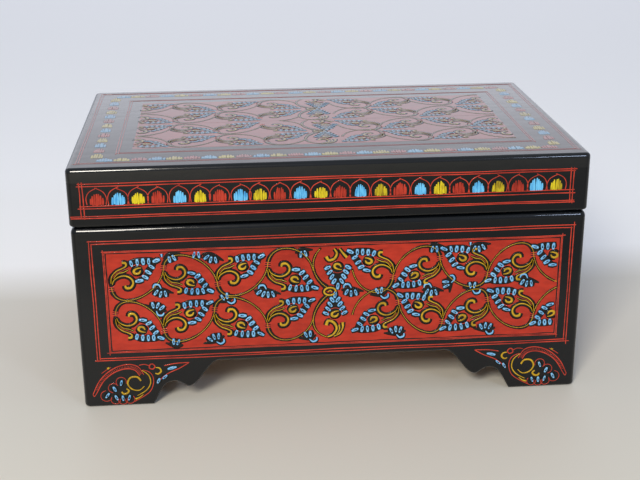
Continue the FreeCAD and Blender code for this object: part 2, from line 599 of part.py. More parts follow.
def bedplate():
    """The cast plate that everything in the movement stands on."""
    z0, z1 = FLOOR + BEDPLATE_FOOT, PLATE_TOP
    plate = block(BARREL_X - BEDPLATE_LEFT, BARREL_X + BEDPLATE_RIGHT,
                  BARREL_Y - BEDPLATE_FRONT, BARREL_Y + BEDPLATE_BACK, z0, z1)
    uprights = edges_where(plate, lambda p: abs(p.z - (z0 + z1) / 2) < (z1 - z0) / 2 + 0.1
                           and (near(p.x, BARREL_X - BEDPLATE_LEFT) or near(p.x, BARREL_X + BEDPLATE_RIGHT))
                           and (near(p.y, BARREL_Y - BEDPLATE_FRONT) or near(p.y, BARREL_Y + BEDPLATE_BACK)))
    plate = plate.makeFillet(3.0, uprights)
    bosses = [upright(x, y, FLOOR, z0 + 0.5, 3.2) for x, y in movement_screw_places()]
    plate = fuse(plate, *bosses)
    holes = [movement_screw_hole(x, y) for x, y in movement_screw_places()]
    holes.append(upright(BARREL_X, BARREL_Y, FLOOR, z1 + 1, ARBOR_RADIUS + RUNNING))
    holes.append(upright(PLUNGER_X, PLUNGER_Y, FLOOR, z1 + 1, PLUNGER_RADIUS + RUNNING))
    holes += [upright(x, y, z0 + 0.5, z1 + 1, 0.8 + SCREW_CLEARANCE)
              for x, y in (*bridge_screw_places(), *comb_screw_places(), *governor_screw_places())]
    return plate.cut(holes)


def spring_housing():
    """The cup over the mainspring, spun from brass sheet."""
    top = PLATE_TOP + HOUSING_HEIGHT
    cup = upright(BARREL_X, BARREL_Y, PLATE_TOP, top, HOUSING_RADIUS)
    cup = cup.makeFillet(1.0, edges_where(cup, lambda p: near(p.z, top)))
    inside = upright(BARREL_X, BARREL_Y, PLATE_TOP - 1, top - HOUSING_WALL, HOUSING_RADIUS - HOUSING_WALL)
    return cup.cut([inside, upright(BARREL_X, BARREL_Y, PLATE_TOP, top + 1, ARBOR_RADIUS + 0.3)])


def mainspring():
    """The spring steel strip: a spiral of half turns, from the arbor's hub to the housing's wall."""
    start = ARBOR_HUB_RADIUS + 0.3
    end = HOUSING_RADIUS - HOUSING_WALL - 0.3 - SPRING_THICKNESS
    step = (end - start) / (2 * SPRING_TURNS)

    def spiral(extra):
        arcs, radius, side = [], start + extra, 1
        right = BARREL_X + start + extra
        for _ in range(2 * SPRING_TURNS):
            left = right - side * (2 * radius + step)
            centre, r = (right + left) / 2, abs(right - left) / 2
            top = V(centre, BARREL_Y + side * r, 0)
            arcs.append(Part.Arc(V(right, BARREL_Y, 0), top, V(left, BARREL_Y, 0)))
            right, radius, side = left, radius + step, -side
        return [arc.toShape() for arc in arcs]

    inner, outer = spiral(0.0), spiral(SPRING_THICKNESS)
    ends = [Part.makeLine(inner[0].Vertexes[0].Point, outer[0].Vertexes[0].Point),
            Part.makeLine(inner[-1].Vertexes[-1].Point, outer[-1].Vertexes[-1].Point)]
    wire = Part.Wire(Part.__sortEdges__([*inner, *outer, *ends]))
    z0 = PLATE_TOP + 0.4
    strip = Part.Face(wire).extrude(V(0, 0, HOUSING_HEIGHT - HOUSING_WALL - 0.8))
    return strip.translated(V(0, 0, z0))


def bridge_screw_places():
    """The barrel bridge's two screws."""
    return [(BARREL_X, BARREL_Y - 16.3), (BARREL_X, BARREL_Y + 16.3)]


def small_screw(x, y, seat):
    """One of the movement's own cheese-head screws, its head standing on seat."""
    return screw(x, y, seat + 1.0, 4.4, 0.8, 1.6, 1.0)


def barrel_bridge():
    """The bridge over the great wheel: it carries the arbor's top bearing and the cylinder's right pivot."""
    low = CROWN_PITCH_Z + 1.4
    high = low + 1.5
    top = block(BARREL_X - 4.0, BARREL_X + 4.0, BARREL_Y - 18.6, BARREL_Y + 18.6, low, high)
    legs = [block(BARREL_X - 3.0, BARREL_X + 3.0, BARREL_Y + s * 16.4 - 2.2, BARREL_Y + s * 16.4 + 2.2,
                  PLATE_TOP, low) for s in (-1, 1)]
    ear_x = PINION_X + PINION_FACE / 2 + 0.5
    shelf = block(ear_x, BARREL_X, BARREL_Y - 3.0, BARREL_Y + 3.0, low, high)
    ear = block(ear_x, ear_x + 1.6, BARREL_Y - 3.0, BARREL_Y + 3.0, low, CYLINDER_Z)
    crown = along_x(ear_x, ear_x + 1.6, BARREL_Y, CYLINDER_Z, 3.0)
    body = fuse(top, *legs, shelf, ear, crown)
    holes = [upright(BARREL_X, BARREL_Y, low - 1, high + 1, ARBOR_RADIUS * 0.75 + RUNNING),
             along_x(ear_x - 1, ear_x + 3, BARREL_Y, CYLINDER_Z, CYLINDER_PIVOT_RADIUS + RUNNING)]
    holes += [upright(x, y, PLATE_TOP - 1, high + 1, 0.8 + SCREW_CLEARANCE) for x, y in bridge_screw_places()]
    return body.cut(holes), [screw(x, y, high + 1.0, high + 1.0 - PLATE_TOP + 1.4, 0.8, 1.6, 1.0)
                             for x, y in bridge_screw_places()]


def comb_screw_places():
    """The comb's two screws, in its thick rear body."""
    y = comb_back() + COMB_BODY_LENGTH / 2
    return [(CYLINDER_RIGHT - 4.5, y), (CYLINDER_LEFT + 4.5, y)]


def comb_back():
    """The Y of the comb's edge away from the cylinder."""
    return BARREL_Y - CYLINDER_RADIUS - PIN_HEIGHT - COMB_PIN_GAP - COMB_TOOTH_LENGTH - COMB_BODY_LENGTH


def comb_left():
    """The X of the comb's left end."""
    return CYLINDER_LEFT + COMB_SETBACK


def comb_right():
    """The X of the comb's right end."""
    return CYLINDER_RIGHT - COMB_SETBACK


def comb():
    """The steel comb with its tapered teeth, and the block under it."""
    y0 = comb_back()
    y1 = y0 + COMB_BODY_LENGTH
    x0, x1 = comb_left(), comb_right()
    z = CYLINDER_Z
    body = block(x0, x1, y0, y1, z - COMB_THICKNESS / 2, z + COMB_THICKNESS / 2)
    pitch = (x1 - x0) / COMB_TEETH
    teeth = []
    for k in range(COMB_TEETH):
        tx = x0 + k * pitch + COMB_TOOTH_GAP / 2
        tip, mid = y1 + COMB_TOOTH_LENGTH, y1 + COMB_TOOTH_LENGTH * (0.12 + 0.5 * k / COMB_TEETH)
        h, t = COMB_THICKNESS / 2, COMB_TIP_THICKNESS / 2
        side = [V(tx, y1 - 0.2, z + h * 0.7), V(tx, mid, z + t), V(tx, tip, z + t),
                V(tx, tip, z - t), V(tx, mid, z - t * 1.4), V(tx, y1 - 0.2, z - h * 0.8)]
        teeth.append(prism(side, V(pitch - COMB_TOOTH_GAP, 0, 0)))
    plate = fuse(body, *teeth)
    base = block(x0 + 0.4, x1 - 0.4, y0 + 0.3, y1 - 0.3, PLATE_TOP, z - COMB_THICKNESS / 2)
    top = z + COMB_THICKNESS / 2
    holes = [upright(x, y, PLATE_TOP - 1, top + 1, 0.8 + SCREW_CLEARANCE) for x, y in comb_screw_places()]
    screws = [screw(x, y, top + 1.1, top + 1.1 - PLATE_TOP + 1.4, 0.8, 2.0, 1.1) for x, y in comb_screw_places()]
    return plate.cut(holes), base.cut(holes), screws


def governor_screw_places():
    """The governor frame's two screws."""
    return [(FRAME_OUTER_X - 2.2, RELAY_Y - 3.5), (WORM_X, WORM_Y - 3.2)]


def governor_frame():
    """The cast frame that carries the cylinder's left pivot, the second arbor and the worm."""
    base_top = PLATE_TOP + 1.5
    back = WORM_Y + 3.0
    right = FRAME_INNER_X + FRAME_WALL
    base = block(FRAME_OUTER_X - 4.4, right, BARREL_Y - 3.0, back, PLATE_TOP, base_top)
    inner = block(FRAME_INNER_X, right, BARREL_Y - 3.0, RELAY_Y + 3.0, PLATE_TOP, CYLINDER_Z)
    inner_top = along_x(FRAME_INNER_X, right, BARREL_Y, CYLINDER_Z, 3.0)
    outer = block(FRAME_OUTER_X, FRAME_OUTER_X + FRAME_WALL, RELAY_Y - 3.0, RELAY_Y + 3.0, PLATE_TOP, RELAY_Z)
    outer_top = along_x(FRAME_OUTER_X, FRAME_OUTER_X + FRAME_WALL, RELAY_Y, RELAY_Z, 3.0)
    post = block(WORM_X - 2.0, WORM_X + 2.0, WORM_Y + FLY_RADIUS + 0.5, WORM_Y + FLY_RADIUS + 2.1,
                 PLATE_TOP, UPPER_ARM + 1.4)
    foot = block(WORM_X - 2.0, WORM_X + 2.0, back - 1.0, WORM_Y + FLY_RADIUS + 1.0, PLATE_TOP, base_top)
    arm = block(WORM_X - 1.5, WORM_X + 1.5, WORM_Y, WORM_Y + FLY_RADIUS + 1.0, UPPER_ARM, UPPER_ARM + 1.4)
    arm_end = upright(WORM_X, WORM_Y, UPPER_ARM, UPPER_ARM + 1.4, 1.5)
    step = block(WORM_X - 1.6, WORM_X + 1.6, WORM_Y - 1.6, WORM_Y + 1.6, base_top, base_top + 1.5)
    body = fuse(base, inner, inner_top, outer, outer_top, post, foot, arm, arm_end, step)
    pivot = CYLINDER_PIVOT_RADIUS + RUNNING
    relay = 0.6 + RUNNING
    holes = [along_x(FRAME_INNER_X - 1, right + 1, BARREL_Y, CYLINDER_Z, pivot),
             along_x(FRAME_OUTER_X - 1, right + 1, RELAY_Y, RELAY_Z, relay),
             upright(WORM_X, WORM_Y, base_top + 0.4, UPPER_ARM + 1.4 - 0.4, 0.4 + RUNNING),
             upright(PLUNGER_X, PLUNGER_Y, PLATE_TOP - 1, base_top + 1, PLUNGER_RADIUS + RUNNING)]
    holes += [upright(x, y, PLATE_TOP - 1, base_top + 1, 0.8 + SCREW_CLEARANCE) for x, y in governor_screw_places()]
    return body.cut(holes), [small_screw(x, y, base_top) for x, y in governor_screw_places()]


# ---------------------------------------------------------------- movement: going train
def great_wheel():
    """The crown wheel that the mainspring drives, its teeth standing up round its rim."""
    r0, r1 = CROWN_RADIUS - CROWN_FACE / 2, CROWN_RADIUS + CROWN_FACE / 2
    disc = upright(BARREL_X, BARREL_Y, WHEEL_BASE, WHEEL_TOP, r1)
    pitch = math.pi * DRIVE_MODULE
    half = TOOTH_SHARE * pitch / 2
    lean = math.tan(math.radians(PRESSURE_ANGLE))
    z = CROWN_PITCH_Z
    rise, fall = 0.85 * DRIVE_MODULE, z - WHEEL_TOP + 0.1
    section = [V(r0, -half - fall * lean, z - fall), V(r0, -half + rise * lean, z + rise),
               V(r0, half - rise * lean, z + rise), V(r0, half + fall * lean, z - fall)]
    tooth = prism(section, V(CROWN_FACE, 0, 0))
    teeth = []
    for k in range(CROWN_TEETH):
        copy = tooth.copy()
        copy.rotate(V(0, 0, 0), V(0, 0, 1), 360.0 * (k + 0.5) / CROWN_TEETH)
        teeth.append(copy.translated(V(BARREL_X, BARREL_Y, 0)))
    wheel = fuse(disc, *teeth)
    rim = upright(BARREL_X, BARREL_Y, WHEEL_BASE - 1, z + 2, r1 + 3).cut(
        upright(BARREL_X, BARREL_Y, WHEEL_BASE - 1, z + 2, r1))
    return wheel.cut([rim, upright(BARREL_X, BARREL_Y, WHEEL_BASE - 1, z, ARBOR_RADIUS + RUNNING),
                      upright(*click_pivot_place(), WHEEL_BASE - 1, z, 0.5 + RUNNING)])


def click_pivot_place():
    """Where the click turns on the great wheel."""
    return BARREL_X + 5.6, BARREL_Y + 6.6


def click():
    """The pawl that rests in the ratchet wheel's teeth, and the stud it turns on."""
    z0 = WHEEL_TOP + 0.1
    px, py = click_pivot_place()
    root = RATCHET_RADIUS - RATCHET_DEPTH
    lead, reach = math.radians(3), root + 0.25
    tip = V(BARREL_X + reach * math.cos(lead), BARREL_Y + reach * math.sin(lead), z0)
    body = prism([tip, V(BARREL_X + RATCHET_RADIUS + 0.35, BARREL_Y + 0.35, z0), V(px + 1.4, py, z0),
                  V(px - 0.9, py - 0.9, z0), V(BARREL_X + RATCHET_RADIUS + 0.1, BARREL_Y + 2.3, z0)],
                 V(0, 0, RATCHET_THICKNESS))
    eye = upright(px, py, z0, z0 + RATCHET_THICKNESS, 1.4)
    pawl = fuse(body, eye).cut(upright(px, py, z0 - 1, z0 + 3, 0.5 + RUNNING))
    stud = fuse(upright(px, py, WHEEL_BASE, z0 + RATCHET_THICKNESS + 0.4, 0.5),
                upright(px, py, z0 + RATCHET_THICKNESS + 0.1, z0 + RATCHET_THICKNESS + 0.6, 1.2))
    return pawl, stud


def winding_arbor():
    """The shaft from the key up through the mainspring to the bridge."""
    high = CROWN_PITCH_Z + 1.4 + 1.5
    key_end = PANEL_UNDERSIDE - KEY_PANEL_GAP - KEY_HUB_LENGTH + 2.0
    shaft = upright(BARREL_X, BARREL_Y, key_end, WHEEL_TOP + 0.1 + RATCHET_THICKNESS, ARBOR_RADIUS)
    hub = upright(BARREL_X, BARREL_Y, PLATE_TOP + 0.3, PLATE_TOP + HOUSING_HEIGHT - HOUSING_WALL - 0.3,
                  ARBOR_HUB_RADIUS)
    pivot = upright(BARREL_X, BARREL_Y, WHEEL_TOP, high + 0.4, ARBOR_RADIUS * 0.75)
    return fuse(shaft, hub, pivot)


def ratchet_wheel():
    """The saw-toothed wheel on the arbor."""
    z0 = WHEEL_TOP + 0.1
    points = []
    for k in range(RATCHET_TEETH):
        a = 2 * math.pi * k / RATCHET_TEETH
        b = a + 2 * math.pi * 0.06 / RATCHET_TEETH
        r = RATCHET_RADIUS - RATCHET_DEPTH
        points += [V(BARREL_X + RATCHET_RADIUS * math.cos(a), BARREL_Y + RATCHET_RADIUS * math.sin(a), z0),
                   V(BARREL_X + r * math.cos(b), BARREL_Y + r * math.sin(b), z0)]
    wheel = prism(points, V(0, 0, RATCHET_THICKNESS))
    return wheel.cut(upright(BARREL_X, BARREL_Y, z0 - 1, z0 + 3, ARBOR_RADIUS + 0.01))


def winding_key():
    """The butterfly key on the arbor's lower end."""
    top = PANEL_UNDERSIDE - KEY_PANEL_GAP
    hub = upright(BARREL_X, BARREL_Y, top - KEY_HUB_LENGTH, top, KEY_HUB_RADIUS)
    low = top - KEY_HUB_LENGTH - KEY_HEIGHT + 5.0
    t = KEY_THICKNESS / 2
    wing = block(-KEY_WIDTH / 2, KEY_WIDTH / 2, -t, t, low, low + KEY_HEIGHT)
    ends = (low, low + KEY_HEIGHT)
    rounds = edges_where(wing, lambda p: near(abs(p.x), KEY_WIDTH / 2) and any(near(p.z, z) for z in ends))
    wing = wing.makeFillet(KEY_HEIGHT * 0.42, rounds)
    for s in (-1, 1):
        eye = V(s * KEY_WIDTH * 0.3, -KEY_EYE_DEPTH / 2, low + KEY_HEIGHT / 2)
        wing = wing.cut(Part.makeCylinder(KEY_EYE_RADIUS, KEY_EYE_DEPTH, eye, V(0, 1, 0)))
    wing.rotate(V(0, 0, 0), V(0, 0, 1), 25)
    key = fuse(hub, wing.translated(V(BARREL_X, BARREL_Y, 0)))
    bore_end = top - KEY_HUB_LENGTH + 2.0 - FIT_GAP
    return key.cut(upright(BARREL_X, BARREL_Y, bore_end, top + 1, ARBOR_RADIUS + 0.01))


def cylinder_parts():
    """The pinned cylinder's shell, its arbor with end caps, the drive pinion and the relay wheel."""
    y, z = BARREL_Y, CYLINDER_Z
    shell = along_x(CYLINDER_LEFT, CYLINDER_RIGHT, y, z, CYLINDER_RADIUS)
    pins = []
    pitch = (comb_right() - comb_left()) / COMB_TEETH
    for note in range(COMB_TEETH):
        for k in range(PINS_PER_NOTE):
            # each note's plucks fall at uneven times round the tune
            angle = 2 * math.pi * (k + 0.37 * math.sin(2.3 * note + 1.9 * k) + 0.29 * note) / PINS_PER_NOTE
            foot = V(comb_left() + pitch * (note + 0.5), y, z)
            pins.append(Part.makeCylinder(PIN_RADIUS, CYLINDER_RADIUS + PIN_HEIGHT, foot,
                                          V(0, math.cos(angle), math.sin(angle))))
    bore = along_x(CYLINDER_LEFT - 1, CYLINDER_RIGHT + 1, y, z, CYLINDER_RADIUS - CYLINDER_WALL)
    shell = shell.fuse(pins).cut(bore)
    right_end = PINION_X + PINION_FACE / 2 + 0.5 + 1.6 + 0.3
    left_end = FRAME_INNER_X - 0.3
    arbor = along_x(left_end, right_end, y, z, CYLINDER_PIVOT_RADIUS)
    core = along_x(RELAY_X - 0.2, PINION_X + PINION_FACE / 2 + 0.2, y, z, 1.7)
    inner = CYLINDER_RADIUS - CYLINDER_WALL - 0.01
    caps = [along_x(a, a + 1.0, y, z, inner) for a in (CYLINDER_LEFT, CYLINDER_RIGHT - 1.0)]
    arbor = fuse(arbor, core, *caps)
    pinion = spur_gear(PINION_X - PINION_FACE / 2, y, z, PINION_FACE, PINION_TEETH, DRIVE_MODULE, -90.0)
    bore = along_x(RELAY_X - 1, PINION_X + 5, y, z, 1.71)
    relay = spur_gear(RELAY_X, y, z, RELAY_FACE, RELAY_WHEEL_TEETH, RELAY_MODULE, RELAY_ANGLE)
    return shell, arbor, pinion.cut(bore), relay.cut(bore)


def relay_parts():
    """The second arbor with its pinion, and the worm wheel on it."""
    y, z = RELAY_Y, RELAY_Z
    half_tooth = 180.0 / RELAY_PINION_TEETH
    pinion = spur_gear(RELAY_X - 0.3, y, z, RELAY_FACE + 0.6, RELAY_PINION_TEETH, RELAY_MODULE,
                       RELAY_ANGLE + 180.0 + half_tooth, addendum=0.8, dedendum=1.1)
    shaft = along_x(FRAME_OUTER_X - 0.3, RELAY_X + RELAY_FACE + 0.5, y, z, 0.6)
    collar = along_x(FRAME_INNER_X - 0.4, FRAME_INNER_X - 0.1, y, z, 1.1)
    arbor = fuse(pinion, shaft, collar)
    face, x0 = WORM_WHEEL_FACE, WORM_X - WORM_WHEEL_FACE / 2
    root = WORM_WHEEL_RADIUS - 1.25 * WORM_MODULE
    disc = along_x(x0, x0 + face, y, z, root)
    outline = tooth_outline(WORM_WHEEL_TEETH, WORM_MODULE, WORM_TOOTH_SHARE, 0.8, 1.4)
    slope = WORM_MODULE / (2 * WORM_RADIUS)
    low = [V(x0, r * math.cos(a), r * math.sin(a) - slope * face / 2) for r, a in outline]
    tooth = prism(low, V(face, 0, slope * face))
    teeth = []
    for k in range(WORM_WHEEL_TEETH):
        copy = tooth.copy()
        copy.rotate(V(0, 0, 0), V(1, 0, 0), 360.0 * k / WORM_WHEEL_TEETH)
        teeth.append(copy.translated(V(0, y, z)))
    wheel = fuse(disc, *teeth)
    return arbor, wheel.cut(along_x(x0 - 1, x0 + face + 1, y, z, 0.61))


def worm_shaft():
    """The endless screw: a right-handed single thread on a thin shaft with its pivots."""
    low, high = RELAY_Z - WORM_LENGTH / 2, RELAY_Z + WORM_LENGTH / 2
    core_radius = WORM_RADIUS - 1.1 * WORM_MODULE
    crest = WORM_RADIUS + 0.8 * WORM_MODULE
    start = RELAY_Z - WORM_PITCH * 0.25
    start -= WORM_PITCH * math.floor((start - low - 0.6) / WORM_PITCH)
    lean = math.tan(math.radians(PRESSURE_ANGLE))
    half = WORM_TOOTH_SHARE * WORM_PITCH / 2
    deep, tall = WORM_RADIUS - core_radius + 0.12, crest - WORM_RADIUS
    section = [V(WORM_RADIUS - deep, 0, -half - deep * lean), V(crest, 0, -half + tall * lean),
               V(crest, 0, half - tall * lean), V(WORM_RADIUS - deep, 0, half + deep * lean)]
    profile = Part.makePolygon([*section, section[0]])
    turns = math.floor((high - 0.6 - start) / WORM_PITCH)
    helix = Part.makeHelix(WORM_PITCH, turns * WORM_PITCH, WORM_RADIUS)
    thread = Part.Wire(helix).makePipeShell([profile], True, True)
    thread = Part.makeSolid(thread) if thread.ShapeType != "Solid" else thread
    thread = thread.translated(V(WORM_X, WORM_Y, start))
    core = upright(WORM_X, WORM_Y, low, high, core_radius)
    base_top = PLATE_TOP + 1.5
    shaft = upright(WORM_X, WORM_Y, base_top + 0.5, UPPER_ARM + 1.4 - 0.5, 0.4)
    return core.fuse([thread, shaft])


def fly():
    """The governor's two-bladed air brake with a flat disc on top, pressed on the worm's shaft."""
    hub = upright(WORM_X, WORM_Y, FLY_BASE, FLY_BASE + FLY_HEIGHT, 1.3)
    blades = block(WORM_X - FLY_RADIUS, WORM_X + FLY_RADIUS, WORM_Y - FLY_BLADE / 2, WORM_Y + FLY_BLADE / 2,
                   FLY_BASE, FLY_BASE + FLY_HEIGHT)
    disc = upright(WORM_X, WORM_Y, FLY_BASE + FLY_HEIGHT, DISC_TOP, FLY_RADIUS)
    return fuse(hub, blades, disc).cut(upright(WORM_X, WORM_Y, FLY_BASE - 1, DISC_TOP + 1, 0.41))


# ---------------------------------------------------------------- lid-worked stop
def stop_plunger():
    """The rod that the closed lid holds down, with its brake arm and collar, and the felt pad under the arm."""
    top = LID_BASE + STRIKER_RISE - PLUNGER_TOP_GAP
    tip = Part.makeSphere(PLUNGER_RADIUS, V(PLUNGER_X, PLUNGER_Y, top - PLUNGER_RADIUS))
    low = FLOOR + BEDPLATE_FOOT + 0.4
    rod = fuse(upright(PLUNGER_X, PLUNGER_Y, low, top - PLUNGER_RADIUS, PLUNGER_RADIUS), tip)
    pad_base = DISC_TOP + BRAKE_GAP
    arm_base = pad_base + 1.2
    arm = block(PLUNGER_X, WORM_X + 0.9, PLUNGER_Y - 0.9, PLUNGER_Y + 0.9 - 0.2, arm_base, arm_base + 1.2)
    collar = upright(PLUNGER_X, PLUNGER_Y, arm_base, arm_base + 1.2, 2.0)
    pad = upright(WORM_X, PLUNGER_Y - 0.1, pad_base, arm_base, 0.75)
    return fuse(rod, arm, collar), pad


def plunger_spring():
    """The light coil spring that lifts the plunger when the lid opens."""
    low = PLATE_TOP + 1.5 + 0.1
    high = DISC_TOP + BRAKE_GAP + 1.2 - 0.1
    wire, radius, turns = 0.22, 1.6, 7
    pitch = (high - low - 2 * wire) / turns
    helix = Part.makeHelix(pitch, pitch * turns, radius)
    section = Part.Wire(Part.makeCircle(wire, V(radius, 0, 0), V(0, 1, 0)))
    coil = Part.Wire(helix).makePipeShell([section], True, True)
    coil = Part.makeSolid(coil) if coil.ShapeType != "Solid" else coil
    return coil.translated(V(PLUNGER_X, PLUNGER_Y, low + wire))


# ---------------------------------------------------------------- assembly
def build():
    os.makedirs("parts", exist_ok=True)

    boards = case_boards()
    top, rails = lid_boards()
    hinges = {"left": -HINGE_SPACING / 2, "right": HINGE_SPACING / 2}
    case_screws, lid_screws = [], []
    for side, middle in hinges.items():
        case_leaf, lid_leaf, pin = hinge(middle)
        save(f"case_hinge_leaf_{side}", case_leaf)
        save(f"lid_hinge_leaf_{side}", lid_leaf)
        save(f"hinge_pin_{side}", pin)
        boards["back"] = boards["back"].cut(hinge_recess(middle, SEAM_HEIGHT - LEAF_THICKNESS, SEAM_HEIGHT + 1))
        rails["back"] = rails["back"].cut(hinge_recess(middle, LID_BASE - 1, LID_BASE + LEAF_THICKNESS))
        for x, y in hinge_screw_places(middle):
            case_screws.append(screw(x, y, SEAM_HEIGHT, *hinge_screw_size(True)))
            lid_screws.append(screw(x, y, LID_BASE, *hinge_screw_size(False)))
            boards["back"] = boards["back"].cut(screw_hole(x, y, SEAM_HEIGHT, *hinge_screw_size(True)))
            rails["back"] = rails["back"].cut(screw_hole(x, y, LID_BASE, *hinge_screw_size(False)))
    save("case_hinge_screws", *case_screws)
    save("lid_hinge_screws", *lid_screws)
    for side, board in boards.items():
        save(f"{side}_board", board)
    for side, rail in rails.items():
        save(f"lid_{side}_rail", rail)
    save("lid_top_board", top)

    save("bottom_panel", bottom_panel())
    save("corner_blocks", *corner_blocks())
    long_board, cross = partitions()
    save("bay_partition", long_board)
    save("cross_partition", cross)
    lining, pad, cushion = compartment_fittings()
    save("compartment_lining", *lining)
    save("compartment_pad", pad)
    save("ring_cushion", cushion)
    ledges, pane, cover_screws = movement_cover()
    save("cover_ledges", *ledges)
    save("cover_pane", pane)
    save("cover_screws", *cover_screws)

    lid_lining, glass, strips, striker = lid_fittings()
    save("lid_lining", lid_lining)
    save("lid_mirror", glass)
    save("mirror_frame", *strips)
    save("stop_striker", striker)

    save("bedplate", bedplate())
    save("movement_screws", *movement_screws())
    save("spring_housing", spring_housing())
    save("mainspring", mainspring())
    bridge, bridge_screws = barrel_bridge()
    save("barrel_bridge", bridge)
    plate, base, comb_screws = comb()
    save("comb", plate)
    save("comb_base", base)
    frame, governor_screws = governor_frame()
    save("governor_frame", frame)
    save("movement_frame_screws", *bridge_screws, *comb_screws, *governor_screws)

    save("great_wheel", great_wheel())
    pawl, stud = click()
    save("click", pawl)
    save("click_stud", stud)
    save("winding_arbor", winding_arbor())
    save("ratchet_wheel", ratchet_wheel())
    save("winding_key", winding_key())
    shell, arbor, pinion, relay = cylinder_parts()
    save("cylinder", shell)
    save("cylinder_arbor", arbor)
    save("drive_pinion", pinion)
    save("relay_wheel", relay)
    relay_arbor, worm_wheel = relay_parts()
    save("relay_arbor", relay_arbor)
    save("worm_wheel", worm_wheel)
    save("worm_shaft", worm_shaft())
    save("fly", fly())
    plunger, brake_pad = stop_plunger()
    save("stop_plunger", plunger)
    save("brake_pad", brake_pad)
    save("plunger_spring", plunger_spring())


build()
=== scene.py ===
"""Looks of the lacquered music box: painted boards, brass hinges, velvet compartments and the movement."""

import logging
import math
import random
from dataclasses import dataclass, field, replace
from enum import Enum

import bmesh
import bpy
import numpy as np
from mathutils import Matrix, Vector


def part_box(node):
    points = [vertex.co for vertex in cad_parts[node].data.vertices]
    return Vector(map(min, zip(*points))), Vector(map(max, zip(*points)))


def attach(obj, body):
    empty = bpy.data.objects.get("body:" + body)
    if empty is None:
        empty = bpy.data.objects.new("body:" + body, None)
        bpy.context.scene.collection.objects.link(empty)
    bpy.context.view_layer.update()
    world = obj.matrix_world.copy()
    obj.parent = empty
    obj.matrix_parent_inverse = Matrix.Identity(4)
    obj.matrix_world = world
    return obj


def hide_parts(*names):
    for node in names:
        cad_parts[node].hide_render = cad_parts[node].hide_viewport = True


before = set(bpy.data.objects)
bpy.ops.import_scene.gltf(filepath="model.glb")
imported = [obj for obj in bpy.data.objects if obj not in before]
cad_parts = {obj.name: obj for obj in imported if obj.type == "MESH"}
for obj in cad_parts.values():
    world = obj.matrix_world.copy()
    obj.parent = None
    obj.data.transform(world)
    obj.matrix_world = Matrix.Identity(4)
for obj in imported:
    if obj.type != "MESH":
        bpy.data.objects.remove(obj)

MM = 0.001
MERGE_DISTANCE = 1e-6          # of doubled points, in metres
CREASE = math.radians(28)      # edges sharper than this stay crisp on a CAD piece
CLOTH_STEPS = 20               # frames that a padded piece is given to fill out
LONG_HALF = 100                # a board whose half length is over this, in mm, is a long one
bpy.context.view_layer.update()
log = logging.getLogger("music_box")

Point = tuple[float, float]


# ---------------------------------------------------------------- node and colour helpers
def linear(hex_colour: str) -> tuple[float, float, float, float]:
    """Turns an sRGB hex colour to linear.

    Args:
        hex_colour: six digits after a hash.

    Returns:
        Linear red, green and blue, and a full alpha.
    """
    parts = [int(hex_colour[i:i + 2], 16) / 255 for i in (1, 3, 5)]
    return (*(p / 12.92 if p <= 0.04045 else ((p + 0.055) / 1.055) ** 2.4 for p in parts), 1.0)


def shade_smooth(mesh: bpy.types.Mesh, smooth: bool = True) -> None:
    """Sets every face of a mesh smooth or flat.

    Args:
        mesh: the mesh.
        smooth: False for flat faces.
    """
    for polygon in mesh.polygons:
        polygon.use_smooth = smooth


def add(tree: bpy.types.NodeTree, kind: str, inputs: dict | None = None,
        **settings: object) -> bpy.types.Node:
    """Adds a node with its settings, values and links.

    Args:
        tree: the material's or world's nodes.
        kind: the node's type.
        inputs: by socket name or number, either a value or the socket to link from.
        settings: the node's own properties.

    Returns:
        The new node.
    """
    node = tree.nodes.new(kind)
    for key, value in settings.items():
        setattr(node, key, value)
    for key, value in (inputs or {}).items():
        if isinstance(value, bpy.types.NodeSocket):
            tree.links.new(value, node.inputs[key])
        else:
            node.inputs[key].default_value = value
    return node


def ramp(tree: bpy.types.NodeTree, source: bpy.types.NodeSocket, stops: list[tuple[float, str]],
         depth: float = 1.0) -> bpy.types.Node:
    """Adds a colour ramp through hex colours.

    Args:
        tree: the material's nodes.
        source: the factor.
        stops: places along the ramp and their colours.
        depth: share of the light that the colours give back.

    Returns:
        The ramp node.
    """
    node = add(tree, "ShaderNodeValToRGB", {"Fac": source})
    elements = node.color_ramp.elements
    while len(elements) < len(stops):
        elements.new(0.5)
    for element, (place, colour) in zip(elements, stops):
        element.position = place
        element.color = (*(depth * c for c in linear(colour)[:3]), 1.0)
    return node


